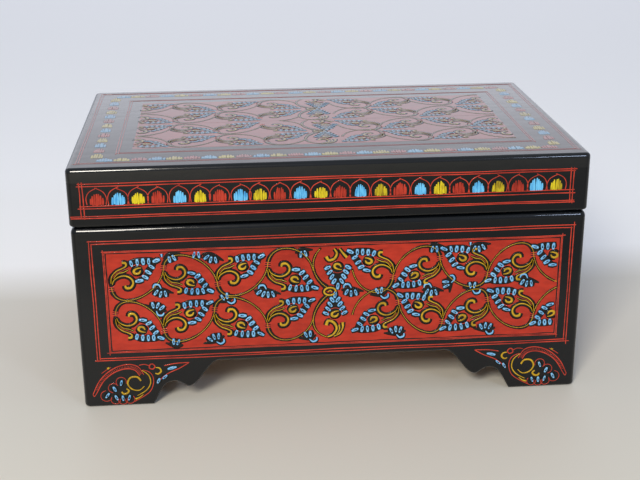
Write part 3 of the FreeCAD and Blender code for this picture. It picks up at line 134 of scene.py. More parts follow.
# ---------------------------------------------------------------- finishes
@dataclass(frozen=True)
class Finish:
    """A finish: what the real material is called, and the values its shader starts from."""

    name: str
    roughness: float = 0.4

    def material(self) -> bpy.types.Material:
        """Makes the material once, and gives the same one afterwards.

        Returns:
            The material.
        """
        made = bpy.data.materials.get(self.name)
        if made:
            return made
        made = bpy.data.materials.new(self.name)
        made.use_nodes = True
        tree = made.node_tree
        tree.nodes.clear()
        place = add(tree, "ShaderNodeTexCoord").outputs["Object"]
        shader = add(tree, "ShaderNodeBsdfPrincipled", {"Roughness": self.roughness})
        add(tree, "ShaderNodeOutputMaterial", {"Surface": shader.outputs["BSDF"]})
        self.dress(tree, place, shader)
        return made

    def dress(self, tree: bpy.types.NodeTree, place: bpy.types.NodeSocket, shader: bpy.types.Node) -> None:
        """Adds what this finish shows. Each kind of finish has its own.

        Args:
            tree: the material's nodes.
            place: object coordinates.
            shader: the surface shader.
        """
        raise NotImplementedError

    @staticmethod
    def noise(tree: bpy.types.NodeTree, place: bpy.types.NodeSocket, size_mm: float, detail: float = 3.0,
              stretch: tuple[float, float, float] = (1.0, 1.0, 1.0)) -> bpy.types.NodeSocket:
        """Adds noise whose lumps are about a real size.

        Args:
            tree: the material's nodes.
            place: object coordinates.
            size_mm: the lumps' size.
            detail: octaves.
            stretch: how much longer the lumps are along each axis.

        Returns:
            The noise value.
        """
        scale = tuple(1.0 / (size_mm * MM * s) for s in stretch)
        mapped = add(tree, "ShaderNodeMapping", {"Vector": place, "Scale": scale})
        inputs = {"Vector": mapped.outputs["Vector"], "Scale": 1.0, "Detail": detail}
        noise = add(tree, "ShaderNodeTexNoise", inputs)
        return noise.outputs["Fac"]

    @staticmethod
    def bumps(tree: bpy.types.NodeTree,
              layers: list[tuple[bpy.types.NodeSocket, float]]) -> bpy.types.NodeSocket:
        """Chains bump layers.

        Args:
            tree: the material's nodes.
            layers: heights with their relief in millimetres.

        Returns:
            The bumped normal.
        """
        normal = None
        for height, relief_mm in layers:
            inputs = {"Height": height, "Distance": relief_mm * MM, "Strength": 1.0}
            if normal is not None:
                inputs["Normal"] = normal
            normal = add(tree, "ShaderNodeBump", inputs).outputs["Normal"]
        return normal


@dataclass(frozen=True)
class Lacquer(Finish):
    """Hand-brushed oriental lacquer: a near-black body under a thick clear gloss that isn't quite level."""

    dark: str = "#020406"
    light: str = "#07090D"
    wave_mm: float = 24.0
    wave_relief_mm: float = 0.13
    sag_mm: float = 7.0
    sag_relief_mm: float = 0.14
    peel_mm: float = 3.2
    peel_relief_mm: float = 0.004
    coat: float = 0.7
    coat_roughness: float = 0.05

    def dress(self, tree: bpy.types.NodeTree, place: bpy.types.NodeSocket, shader: bpy.types.Node) -> None:
        """Adds the cloudy black, the slow waves and the fine peel that break up reflections.

        Args:
            tree: the material's nodes.
            place: object coordinates.
            shader: the surface shader.
        """
        cloud = self.noise(tree, place, 38.0)
        colour = ramp(tree, cloud, [(0.35, self.dark), (0.7, self.light)])
        waves = self.noise(tree, place, self.wave_mm, 1.5, (2.2, 1.0, 1.0))
        sags = self.noise(tree, place, self.sag_mm, 1.5, (1.6, 1.0, 1.0))
        peel = self.noise(tree, place, self.peel_mm, 2.0)
        layers = [(waves, self.wave_relief_mm), (sags, self.sag_relief_mm), (peel, self.peel_relief_mm)]
        normal = self.bumps(tree, layers)
        tree.links.new(colour.outputs["Color"], shader.inputs["Base Color"])
        tree.links.new(normal, shader.inputs["Normal"])
        tree.links.new(normal, shader.inputs["Coat Normal"])
        shader.inputs["IOR"].default_value = 1.45
        shader.inputs["Specular IOR Level"].default_value = 0.1
        shader.inputs["Coat Weight"].default_value = self.coat
        shader.inputs["Coat Roughness"].default_value = self.coat_roughness
        shader.inputs["Coat IOR"].default_value = 1.5


@dataclass(frozen=True)
class Paint(Finish):
    """Brushed tempera colour under the clear gloss: streaked along the brush, darker where it is thin."""

    thin: str = "#802010"
    full: str = "#C83E2A"
    streak_mm: float = 1.1
    stretch: tuple[float, float, float] = (1.0, 1.0, 4.0)
    balance: tuple[float, float] = (0.3, 0.55)
    coat: float = 0.35
    coat_roughness: float = 0.08
    depth: float = 1.0

    def dress(self, tree: bpy.types.NodeTree, place: bpy.types.NodeSocket, shader: bpy.types.Node) -> None:
        """Adds the brush streaks, as coverage and as relief, and the gloss over them.

        Args:
            tree: the material's nodes.
            place: object coordinates.
            shader: the surface shader.
        """
        streaks = self.noise(tree, place, self.streak_mm, 3.0, self.stretch)
        blotch = self.noise(tree, place, self.streak_mm * 14.0, 2.0)
        mixed = add(tree, "ShaderNodeMix", {0: 0.45, 2: streaks, 3: blotch}, data_type="FLOAT")
        stops = [(self.balance[0], self.thin), (self.balance[1], self.full)]
        colour = ramp(tree, mixed.outputs[0], stops, self.depth)
        normal = self.bumps(tree, [(streaks, 0.02)])
        tree.links.new(colour.outputs["Color"], shader.inputs["Base Color"])
        tree.links.new(normal, shader.inputs["Normal"])
        shader.inputs["Specular IOR Level"].default_value = 0.2
        shader.inputs["Coat Weight"].default_value = self.coat
        shader.inputs["Coat Roughness"].default_value = self.coat_roughness


@dataclass(frozen=True)
class Metal(Finish):
    """A metal with fine drawn or turned marks and a little tarnish."""

    bright: str = "#DCC698"
    dull: str = "#B9A06A"
    mark_mm: float = 0.25
    stretch: tuple[float, float, float] = (10.0, 1.0, 1.0)
    relief_mm: float = 0.003

    def dress(self, tree: bpy.types.NodeTree, place: bpy.types.NodeSocket, shader: bpy.types.Node) -> None:
        """Adds the marks and the tarnish.

        Args:
            tree: the material's nodes.
            place: object coordinates.
            shader: the surface shader.
        """
        marks = self.noise(tree, place, self.mark_mm, 3.0, self.stretch)
        tarnish = self.noise(tree, place, 4.0, 4.0)
        colour = ramp(tree, tarnish, [(0.35, self.dull), (0.62, self.bright)])
        spread = add(tree, "ShaderNodeMapRange", {"Value": tarnish, "To Min": self.roughness + 0.12,
                                                  "To Max": max(0.05, self.roughness - 0.06)})
        normal = self.bumps(tree, [(marks, self.relief_mm)])
        tree.links.new(colour.outputs["Color"], shader.inputs["Base Color"])
        tree.links.new(spread.outputs["Result"], shader.inputs["Roughness"])
        tree.links.new(normal, shader.inputs["Normal"])
        shader.inputs["Metallic"].default_value = 1.0


@dataclass(frozen=True)
class Timber(Finish):
    """Bare or stained softwood: long grain along X with darker late wood."""

    early: str = "#C8A070"
    late: str = "#8A5E34"
    grain_mm: float = 2.4
    stretch: tuple[float, float, float] = (14.0, 1.0, 1.0)
    coat: float = 0.0

    def dress(self, tree: bpy.types.NodeTree, place: bpy.types.NodeSocket, shader: bpy.types.Node) -> None:
        """Adds the grain lines and the open pores.

        Args:
            tree: the material's nodes.
            place: object coordinates.
            shader: the surface shader.
        """
        grain = self.noise(tree, place, self.grain_mm, 5.0, self.stretch)
        pores = self.noise(tree, place, 0.5, 2.0, self.stretch)
        colour = ramp(tree, grain, [(0.38, self.late), (0.6, self.early)])
        normal = self.bumps(tree, [(grain, 0.05), (pores, 0.03)])
        tree.links.new(colour.outputs["Color"], shader.inputs["Base Color"])
        tree.links.new(normal, shader.inputs["Normal"])
        shader.inputs["Coat Weight"].default_value = self.coat
        shader.inputs["Coat Roughness"].default_value = 0.2


@dataclass(frozen=True)
class Velvet(Finish):
    """Cotton velvet: a deep pile, dark face on and bright at a grazing angle, brushed in soft patches."""

    deep: str = "#4A0710"
    worn: str = "#7A1220"
    pile_mm: float = 0.5
    sheen: float = 0.9

    def dress(self, tree: bpy.types.NodeTree, place: bpy.types.NodeSocket, shader: bpy.types.Node) -> None:
        """Adds the pile, coarse enough to show, and the brushed patches.

        Args:
            tree: the material's nodes.
            place: object coordinates.
            shader: the surface shader.
        """
        pile = self.noise(tree, place, self.pile_mm, 2.0)
        patches = self.noise(tree, place, 16.0, 3.0)
        mixed = add(tree, "ShaderNodeMix", {0: 0.6, 2: pile, 3: patches}, data_type="FLOAT")
        colour = ramp(tree, mixed.outputs[0], [(0.35, self.deep), (0.68, self.worn)])
        normal = self.bumps(tree, [(patches, 0.25), (pile, 0.16)])
        tree.links.new(colour.outputs["Color"], shader.inputs["Base Color"])
        tree.links.new(normal, shader.inputs["Normal"])
        shader.inputs["Sheen Weight"].default_value = self.sheen
        shader.inputs["Sheen Roughness"].default_value = 0.35
        shader.inputs["Sheen Tint"].default_value = linear("#E86A78")


@dataclass(frozen=True)
class Moulded(Finish):
    """An opaque moulded plastic with a faint grain from its mould."""

    colour: str = "#E6E2D6"
    shade: str = "#CFCABC"

    def dress(self, tree: bpy.types.NodeTree, place: bpy.types.NodeSocket, shader: bpy.types.Node) -> None:
        """Adds the mould's grain.

        Args:
            tree: the material's nodes.
            place: object coordinates.
            shader: the surface shader.
        """
        grain = self.noise(tree, place, 0.4, 2.0)
        colour = ramp(tree, grain, [(0.4, self.shade), (0.6, self.colour)])
        tree.links.new(colour.outputs["Color"], shader.inputs["Base Color"])
        tree.links.new(self.bumps(tree, [(grain, 0.01)]), shader.inputs["Normal"])


@dataclass(frozen=True)
class Clear(Finish):
    """Cast acrylic sheet: clear, with a faint unevenness in its surface."""

    tint: str = "#F4FAF8"

    def dress(self, tree: bpy.types.NodeTree, place: bpy.types.NodeSocket, shader: bpy.types.Node) -> None:
        """Adds the sheet's slow ripple.

        Args:
            tree: the material's nodes.
            place: object coordinates.
            shader: the surface shader.
        """
        ripple = self.noise(tree, place, 18.0, 1.0)
        tree.links.new(self.bumps(tree, [(ripple, 0.02)]), shader.inputs["Normal"])
        shader.inputs["Base Color"].default_value = linear(self.tint)
        shader.inputs["Transmission Weight"].default_value = 1.0
        shader.inputs["IOR"].default_value = 1.49


@dataclass(frozen=True)
class Silvered(Finish):
    """Mirror glass, silvered behind, with a few soft clouds."""

    def dress(self, tree: bpy.types.NodeTree, place: bpy.types.NodeSocket, shader: bpy.types.Node) -> None:
        """Adds the clouds.

        Args:
            tree: the material's nodes.
            place: object coordinates.
            shader: the surface shader.
        """
        clouds = self.noise(tree, place, 30.0, 2.0)
        colour = ramp(tree, clouds, [(0.3, "#DDE2E4"), (0.6, "#F0F3F4")])
        tree.links.new(colour.outputs["Color"], shader.inputs["Base Color"])
        shader.inputs["Metallic"].default_value = 1.0


# Brushed on by hand: a deep near-black, with reflections that waver and sag.
LACQUER = Lacquer("black lacquer, hand brushed", roughness=0.3)
# Poured thicker on the lid's top: a wet, mirror-like gloss that shows the room.
TOP_LACQUER = replace(LACQUER, name="black lacquer, thick flowed gloss", coat=1.0, coat_roughness=0.11)
# Thin varnish on the partitions: a soft black sheen.
PARTITION_BLACK = Lacquer("black satin varnish", roughness=0.4, wave_relief_mm=0.05, peel_relief_mm=0.01)
# Opaque red laid with a broad brush: level streaks, a little brown where it is thin.
RED_GROUND = Paint("vermilion ground, hand brushed", 0.42, "#8E1F10", "#B4301C", 2.6, (3.0, 1.0, 1.0),
                   (0.3, 0.6))
# The ruled lines: the same red off a fine liner, that breaks up where the brush ran dry.
RED_LINE = Paint("vermilion line", 0.4, "#9A2A1C", "#CF4430", 2.2, (3.0, 1.0, 1.0), (0.35, 0.6))
# Short upright pulls of a loaded brush: a dark red with darker gaps between the pulls.
RED_DAB = Paint("dark red dab", 0.4, "#8A2416", "#BC3A26", 0.9, (1.0, 1.0, 5.0), (0.35, 0.6))
# Thick yellow over the dark bands: warm, duller where the dark shows through.
YELLOW_LINE = Paint("chrome yellow line", 0.4, "#8A6A0E", "#CCA420", 1.6, (1.0, 1.0, 1.0), (0.3, 0.6))
# The yellow dabs: greener and brighter, as they stand straight on the black.
YELLOW_DAB = Paint("chrome yellow dab", 0.4, "#8A7410", "#D8C420", 0.9, (1.0, 1.0, 5.0), (0.35, 0.55))
# The petals: pale blue that nearly covers.
BLUE_PETAL = Paint("sky blue petal", 0.4, "#4C94CC", "#86C2EA", 1.4, (1.0, 1.0, 1.0), (0.3, 0.6))
# The blue dabs: a stronger blue with pale ridges.
BLUE_DAB = Paint("sky blue dab", 0.4, "#3C93CE", "#6CC2EE", 0.9, (1.0, 1.0, 5.0), (0.35, 0.55))
# Brown-black outlines round every motif.
DARK_LINE = Paint("dark outline", 0.45, "#070605", "#15110C", 2.0, (1.0, 1.0, 1.0), (0.3, 0.7))
# Cotton velvet: deep red face on, paler along the edges. The pile is coarser than real, so that it shows.
RED_VELVET = Velvet("crimson velvet", 0.85)
# Pressed wool felt: matt grey fuzz.
GREY_FELT = Velvet("grey felt", 0.95, deep="#4A4A48", worn="#6C6C68", pile_mm=0.3, sheen=0.3)
# Unfinished plywood, under and behind: plain straight grain.
BARE_WOOD = Timber("bare plywood", 0.65)
# Stained strips round the mirror: black with a hint of grain.
DARK_WOOD = Timber("black stained moulding", 0.4, early="#1E1A18", late="#0D0B0A", coat=0.4)
# Stamped hinge leaves, polished: a pale gold glint.
HINGE_BRASS = Metal("polished brass", 0.2)
# Machined wheels and cylinder under clear lacquer: a warm, even gold.
MOVEMENT_BRASS = Metal("lacquered brass", 0.28, bright="#E2C27C", dull="#B8944E", mark_mm=0.18)
# Drawn and ground steel: cool grey with fine marks.
STEEL = Metal("drawn steel", 0.25, bright="#C9CACC", dull="#97989B", mark_mm=0.2)
# The cast bedplate: a dull grey with the mould's fine grain.
ZINC = Metal("die-cast zinc", 0.42, bright="#B9BAB8", dull="#8F908E", mark_mm=0.5, stretch=(1.0, 1.0, 1.0),
             relief_mm=0.02)
# Moulded gears: a waxy off-white.
NYLON = Moulded("moulded nylon", 0.45)
# The pane over the works: clear, with a faint ripple in what it reflects.
ACRYLIC = Clear("cast acrylic", 0.03)
# Silvered glass: a sharp reflection with faint clouds.
MIRROR = Silvered("mirror glass", 0.02)


# ---------------------------------------------------------------- faces that carry paint
class Side(Enum):
    """Which way a painted face looks: its right, its up and its outward directions."""

    FRONT = ((1, 0, 0), (0, 0, 1), (0, -1, 0))
    BACK = ((-1, 0, 0), (0, 0, 1), (0, 1, 0))
    LEFT = ((0, -1, 0), (0, 0, 1), (-1, 0, 0))
    RIGHT = ((0, 1, 0), (0, 0, 1), (1, 0, 0))
    TOP = ((1, 0, 0), (0, 1, 0), (0, 0, 1))


@dataclass(frozen=True)
class Face:
    """A flat face that carries paint, as a plane in the model's frame."""

    side: Side
    origin: tuple[float, float, float]
    body: str

    def matrix(self) -> np.ndarray:
        """The face's right, up and outward directions, as rows."""
        return np.array(self.side.value, dtype=float)


class Tint(Enum):
    """The painter's colours: finish, height above the board in millimetres, and thickness of the coat."""

    GROUND = (RED_GROUND, 0.00, 0.03)
    INK = (DARK_LINE, 0.03, 0.03)
    LINE = (RED_LINE, 0.03, 0.05)
    DAB_RED = (RED_DAB, 0.01, 0.05)
    DAB_BLUE = (BLUE_DAB, 0.01, 0.05)
    DAB_YELLOW = (YELLOW_DAB, 0.01, 0.05)
    YELLOW = (YELLOW_LINE, 0.065, 0.035)
    BLUE = (BLUE_PETAL, 0.065, 0.035)
    SLIT = (DARK_LINE, 0.085, 0.03)

    @property
    def finish(self) -> Finish:
        """The colour's finish."""
        return self.value[0]


@dataclass
class Stroke:
    """One brush stroke: a smooth line through a few points, with a width at each, in millimetres."""

    points: list[Point]
    widths: list[float]
    closed: bool = False
    steps: int = 3

    def sampled(self) -> list[tuple[float, float, float]]:
        """Points and half widths along the stroke, smooth between its own points.

        Returns:
            Right, up and half width of each sample.
        """
        pts, count = self.points, len(self.points)
        spans = count if self.closed else count - 1

        def at(i: int) -> np.ndarray:
            """The stroke's own point i with its width, held at the ends of an open stroke."""
            i = i % count if self.closed else min(max(i, 0), count - 1)
            return np.array([*pts[i], self.widths[min(i, len(self.widths) - 1)]])

        out = []
        for i in range(spans):
            p0, p1, p2, p3 = at(i - 1), at(i), at(i + 1), at(i + 2)
            for k in range(self.steps):
                t = k / self.steps
                out.append(0.5 * (2 * p1 + (p2 - p0) * t + (2 * p0 - 5 * p1 + 4 * p2 - p3) * t * t
                                  + (3 * p1 - p0 - 3 * p2 + p3) * t ** 3))
        if not self.closed:
            out.append(at(count - 1))
        return [(float(x), float(y), max(0.05, float(w) / 2)) for x, y, w in out]


@dataclass
class Brushwork:
    """Everything painted on one face, gathered colour by colour and laid on as thin raised paint."""

    face: Face
    name: str
    seed: int = 1
    strokes: dict[Tint, list[Stroke]] = field(default_factory=dict)
    grounds: list[tuple[float, float, float, float]] = field(default_factory=list)
    clip: tuple[float, float, float, float] | None = None
    # Set for the lid's top: a thicker, glossier coat, and every colour at half strength as painted shade,
    # because the top takes more light from above.
    gloss_and_painted_shade: bool = False

    def __post_init__(self) -> None:
        """Starts this face's own run of small irregularities."""
        self.hand = random.Random(self.seed)

    def wobble(self, size: float) -> float:
        """A small hand error of up to size."""
        return self.hand.uniform(-size, size)

    def inside(self, point: Point) -> bool:
        """Whether a point is inside the panel being painted, if there is one.

        Args:
            point: right and up on the face.

        Returns:
            True where paint may go.
        """
        if self.clip is None:
            return True
        left, right, low, high = self.clip
        return left < point[0] < right and low < point[1] < high

    def stroke(self, tint: Tint, points: list[Point], widths: list[float], closed: bool = False,
               steps: int = 3) -> None:
        """Adds one stroke, kept to its longest run inside the panel being painted.

        Args:
            tint: its colour.
            points: what it passes through.
            widths: its width at each point.
            closed: whether it comes back to its start.
            steps: how many samples from one point to the next.
        """
        if not all(self.inside(p) for p in points):
            widths = [widths[min(i, len(widths) - 1)] for i in range(len(points))]
            runs, run = [], []
            for point, width in zip(points, widths):
                if self.inside(point):
                    run.append((point, width))
                else:
                    runs.append(run)
                    run = []
            best = max([*runs, run], key=len)
            if len(best) < 2:
                return
            points, widths, closed = [p for p, _ in best], [w for _, w in best], False
        self.strokes.setdefault(tint, []).append(Stroke(points, widths, closed, steps))

    def ground(self, left: float, right: float, low: float, high: float) -> None:
        """Adds a filled rectangle of the red ground."""
        self.grounds.append((left, right, low, high))

    def place(self, mesh: bpy.types.Mesh, tint: Tint) -> None:
        """Moves a flat mesh drawn in face coordinates onto the board, as a low flat-topped coat of paint.

        Args:
            mesh: the mesh, in metres along the face's right, up and outward directions.
            tint: whose height and thickness it gets.
        """
        co = np.empty(len(mesh.vertices) * 3, dtype=np.float32)
        mesh.vertices.foreach_get("co", co)
        flat = co.reshape(-1, 3).astype(float)
        _, base, thick = tint.value
        flat[:, 2] = base * MM + np.clip(flat[:, 2] * 0.5, -thick * MM, thick * MM)
        placed = flat @ self.face.matrix() + np.array(self.face.origin)
        mesh.vertices.foreach_set("co", placed.astype(np.float32).ravel())
        mesh.update()

    def finish(self, tint: Tint, mesh: bpy.types.Mesh) -> bpy.types.Object:
        """Makes a painted mesh a piece that rides on the face's body.

        Args:
            tint: the colour.
            mesh: the flat mesh.

        Returns:
            The piece.
        """
        self.place(mesh, tint)
        paint = tint.finish
        # On the top the coat is a real thicker gloss, while depth=0.5 is painted shade: a darker copy of each
        # paint for the more strongly lit top.
        if self.gloss_and_painted_shade:
            paint = replace(paint, name=f"{paint.name}, thick gloss", coat=1.0, coat_roughness=0.11,
                            depth=0.5)
        mesh.materials.clear()
        mesh.materials.append(paint.material())
        shade_smooth(mesh)
        piece = bpy.data.objects.new(f"{self.name}_{tint.name.lower()}", mesh)
        bpy.context.scene.collection.objects.link(piece)
        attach(piece, self.face.body)
        log.info("%s: %d faces", piece.name, len(mesh.polygons))
        return piece

    def lay_strokes(self, tint: Tint) -> bpy.types.Object:
        """Turns one colour's strokes into a mesh.

        Args:
            tint: the colour.

        Returns:
            The piece.
        """
        curve = bpy.data.curves.new(f"{self.name}_{tint.name}", "CURVE")
        curve.dimensions = "3D"
        curve.twist_mode = "Z_UP"
        curve.bevel_depth = MM
        curve.bevel_resolution = 1
        curve.use_fill_caps = True
        for stroke in self.strokes[tint]:
            samples = stroke.sampled()
            spline = curve.splines.new("POLY")
            spline.points.add(len(samples) - 1)
            for point, (x, y, half) in zip(spline.points, samples):
                point.co = (x * MM, y * MM, 0.0, 1.0)
                point.radius = half
            spline.use_cyclic_u = stroke.closed
        holder = bpy.data.objects.new("brush", curve)
        bpy.context.scene.collection.objects.link(holder)
        mesh = bpy.data.meshes.new_from_object(holder, depsgraph=bpy.context.evaluated_depsgraph_get())
        bpy.data.objects.remove(holder)
        bpy.data.curves.remove(curve)
        return self.finish(tint, mesh)

    def lay_grounds(self) -> bpy.types.Object:
        """Turns the filled rectangles into thin slabs with slightly uneven edges.

        Returns:
            The piece.
        """
        bm = bmesh.new()
        for left, right, low, high in self.grounds:
            made = bmesh.ops.create_grid(bm, x_segments=40, y_segments=14, size=0.5)["verts"]
            centre = Matrix.Translation(((left + right) / 2 * MM, (low + high) / 2 * MM, 0))
            size = Matrix.Diagonal(((right - left) * MM, (high - low) * MM, 1.0, 1.0))
            bmesh.ops.transform(bm, matrix=centre @ size, verts=made)
            for vert in made:
                if vert.is_boundary:
                    vert.co.x += self.wobble(0.16) * MM
                    vert.co.y += self.wobble(0.16) * MM
        top = bmesh.ops.extrude_face_region(bm, geom=bm.faces[:])["geom"]
        lifted = [g for g in top if isinstance(g, bmesh.types.BMVert)]
        bmesh.ops.translate(bm, vec=(0, 0, MM), verts=lifted)
        bmesh.ops.recalc_face_normals(bm, faces=bm.faces[:])
        mesh = bpy.data.meshes.new(f"{self.name}_ground")
        bm.to_mesh(mesh)
        bm.free()
        piece = self.finish(Tint.GROUND, mesh)
        shade_smooth(mesh, False)
        return piece

    def lay(self) -> None:
        """Lays every colour on the face."""
        if self.grounds:
            self.lay_grounds()
        for tint in Tint:
            if tint in self.strokes:
                self.lay_strokes(tint)


# ---------------------------------------------------------------- the painter's motifs
@dataclass
class Pose:
    """Where a motif stands on its face: its centre, its turn, its size and whether it is turned over."""

    u: float
    v: float
    turn: float = 0.0
    size: float = 1.0
    flip_u: bool = False
    flip_v: bool = False

    def at(self, x: float, y: float) -> Point:
        """A motif's own point, on the face.

        Args:
            x: right in the motif.
            y: up in the motif.

        Returns:
            Right and up on the face.
        """
        x, y = x * self.size, y * self.size
        a = math.radians(self.turn)
        x, y = x * math.cos(a) - y * math.sin(a), x * math.sin(a) + y * math.cos(a)
        return self.u + (-x if self.flip_u else x), self.v + (-y if self.flip_v else y)

    def line(self, points: list[Point]) -> list[Point]:
        """A motif's own points, on the face."""
        return [self.at(x, y) for x, y in points]


@dataclass
class Painter:
    """Draws the traditional motifs with a brush, on any face."""

    work: Brushwork

    def petal(self, pose: Pose, x: float, y: float, angle: float, length: float, width: float = 2.0,
              blot: float = 1.5) -> None:
        """A blue petal on a dark blot, with a dark slit.

        Args:
            pose: the motif it belongs to.
            x: its middle, in the motif.
            y: its middle, in the motif.
            angle: which way it points, in degrees.
            length: from end to end.
            width: across.
            blot: how much wider the dark blot is.
        """
        work = self.work
        a = math.radians(angle + work.wobble(7))
        dx, dy = math.cos(a) * length / 2, math.sin(a) * length / 2
        width *= 1 + work.wobble(0.14)
        ends = pose.line([(x - dx, y - dy), (x, y), (x + dx, y + dy)])
        outer = pose.line([(x - dx * 1.2, y - dy * 1.2), (x, y), (x + dx * 1.2, y + dy * 1.2)])
        slit = pose.line([(x - dx * 0.5, y - dy * 0.5), (x + dx * 0.4, y + dy * 0.4)])
        if not all(work.inside(p) for p in ends):
            return
        dark = [width * 0.6 + blot * 0.5, width + blot, width * 0.7 + blot * 0.6]
        work.stroke(Tint.INK, outer, dark, steps=2)
        work.stroke(Tint.BLUE, ends, [width * 0.5, width * 0.92, width * 0.55], steps=2)
        work.stroke(Tint.SLIT, slit, [0.9, 0.4], steps=1)

    def gold(self, points: list[Point], widths: list[float], halo: float = 1.1, steps: int = 3) -> None:
        """A yellow stroke on a wider dark one.

        Args:
            points: what it passes through.
            widths: of the yellow, at each point.
            halo: how much wider the dark is.
            steps: how many samples from one point to the next.
        """
        self.work.stroke(Tint.INK, points, [w + halo for w in widths], steps=steps)
        self.work.stroke(Tint.YELLOW, points, widths, steps=steps)

    def vine(self, start: Point, start_pull: Point, end_pull: Point, end: Point) -> None:
        """A beaded vine along one smooth bow, with a dark line under it.

        Args:
            start: where it starts.
            start_pull: what its start is bent towards.
            end_pull: what its end is bent towards.
            end: where it ends.
        """
        p = [np.array(q) for q in (start, start_pull, end_pull, end)]
        length = sum(math.dist(a, b) for a, b in zip(p, p[1:])) * 0.9
        count = max(8, int(length / 0.5))
        line = []
        for i in range(count + 1):
            t = i / count
            q = (p[0] * (1 - t) ** 3 + 3 * p[1] * t * (1 - t) ** 2 + 3 * p[2] * t * t * (1 - t)
                 + p[3] * t ** 3)
            line.append((float(q[0]), float(q[1])))
        dark = line[::4] + line[-1:]
        taper = [1.2 + 1.7 * (1 - i / len(dark)) ** 2 + self.work.wobble(0.25)
                 for i in range(len(dark))]
        self.work.stroke(Tint.INK, dark, taper, steps=2)
        self.work.stroke(Tint.YELLOW, line, [0.5 if i % 2 else 0.1 for i in range(count + 1)], steps=1)

    def eye(self, pose: Pose) -> None:
        """The leaf's heart: a dark disc in a fine red ring, with a yellow drop round a dark point.

        Args:
            pose: the leaf it belongs to.
        """
        disc = [(-2.7, -1.1), (-1.4, -0.5), (0.0, 0.1), (1.4, 0.6), (2.7, 1.1)]
        ring = [(math.cos(a) * 3.5, math.sin(a) * 3.2) for a in (math.tau * k / 10 for k in range(10))]
        self.work.stroke(Tint.INK, pose.line(disc), [2.8, 5.2, 6.2, 5.4, 3.0])
        self.work.stroke(Tint.LINE, pose.line(ring), [0.36] * 10, closed=True, steps=2)
        drop = [(1.9, 1.5), (0.3, 1.3), (-1.3, 0.5), (-1.6, -0.8), (-0.4, -1.5), (1.0, -1.0), (1.6, 0.2)]
        self.work.stroke(Tint.YELLOW, pose.line(drop), [0.3, 0.7, 1.1, 1.3, 1.2, 1.0, 0.5], steps=3)

    def leaf_scroll(self, pose: Pose) -> None:
        """The main motif: a scroll and a short stem fork from the vine, with a pointed leaf between them.

        Args:
            pose: where it stands.
        """
        scroll = [(-12.3, -6.6), (-11.4, -4.4), (-8.6, -2.6), (-5.6, -2.4), (-3.0, -4.0), (-2.3, -6.4),
                  (-3.6, -8.6), (-5.7, -8.7), (-6.2, -7.3)]
        stem = [(-12.9, -6.0), (-12.4, -2.6), (-10.0, 0.2), (-7.2, 1.5), (-5.2, 2.7), (-5.4, 4.3),
                (-7.0, 4.4)]
        inner = [(-11.5, -3.6), (-9.4, -1.1), (-6.4, -0.4), (-4.0, 0.8)]
        edge = [(-4.4, 4.2), (-1.0, 5.0), (3.0, 5.2), (7.0, 5.2), (10.2, 5.2)]
        side = [(-0.6, -5.4), (2.6, -3.6), (5.0, -0.8), (7.2, 2.0), (10.2, 5.2)]
        fork = [(-12.9, -8.0), (-12.3, -4.6), (-10.4, -1.9), (-7.4, -0.4), (-5.2, 0.6)]
        vein = [(-11.9, -3.0), (-9.8, -0.6), (-6.8, 0.5), (-4.2, 1.8)]
        self.work.stroke(Tint.INK, pose.line(edge), [1.4, 3.4, 3.6, 3.2, 0.8])
        self.work.stroke(Tint.INK, pose.line(side), [1.6, 3.4, 3.6, 3.2, 0.8])
        self.work.stroke(Tint.INK, pose.line(fork), [1.6, 4.2, 4.9, 3.6, 2.0])
        self.gold(pose.line(scroll), [0.3, 0.45, 0.6, 0.7, 0.85, 1.0, 1.1, 1.35, 0.9], halo=2.3)
        self.gold(pose.line(stem), [0.3, 0.45, 0.55, 0.6, 0.75, 1.25, 1.1], halo=1.9)
        self.gold(pose.line(inner), [0.25, 0.4, 0.4, 0.25], halo=0.8)
        self.work.stroke(Tint.LINE, pose.line(vein), [0.3] * 4)
        self.eye(pose)
        petals = ((-2.6, 3.9, 102, 3.2), (0.3, 4.5, 96, 3.4), (3.1, 4.7, 90, 3.4), (5.8, 4.7, 82, 3.2),
                  (9.4, 4.9, 24, 3.6), (0.7, -5.2, 8, 3.9), (3.6, -3.4, -30, 3.3), (5.2, -0.9, -36, 3.3),
                  (7.0, 1.8, -38, 3.1))
        for x, y, angle, length in petals:
            self.petal(pose, x, y, angle, length)
        for k in (-1, 0, 1):  # bands across the vine where it forks
            x, y = -12.8, -9.0 + k * 1.0
            band = pose.line([(x - 1.5, y - 0.2), (x + 1.5, y + 0.2)])
            self.work.stroke(Tint.LINE, band, [0.55, 0.55], steps=1)

    def sprig(self, u: float, v: float, turn: float, count: int = 3) -> None:
        """A few blue petals fanned from a dark stalk with a curl, to fill a gap.

        Args:
            u: its middle.
            v: its middle.
            turn: in degrees.
            count: how many petals.
        """
        pose = Pose(u, v, turn)
        for k in range(count):
            spread = k - (count - 1) / 2
            self.petal(pose, spread * 2.3, 0.6 - 0.6 * abs(spread), 90 - spread * 24, 3.3, 1.6, 2.2)
        reach = 1.2 * count
        stalk = [(-reach - 2.6, -0.8), (-reach * 0.5, -1.6), (reach * 0.5, -1.8), (reach + 1.4, -0.8)]
        curl = pose.line([(0.2, -2.4), (1.6, -4.2), (3.6, -3.8), (4.0, -2.2)])
        self.work.stroke(Tint.INK, pose.line(stalk), [0.8, 2.6, 2.8, 1.0])
        self.work.stroke(Tint.INK, curl, [1.6, 2.3, 2.3, 1.4])
        self.work.stroke(Tint.BLUE, curl, [0.5, 0.9, 1.0, 0.6])

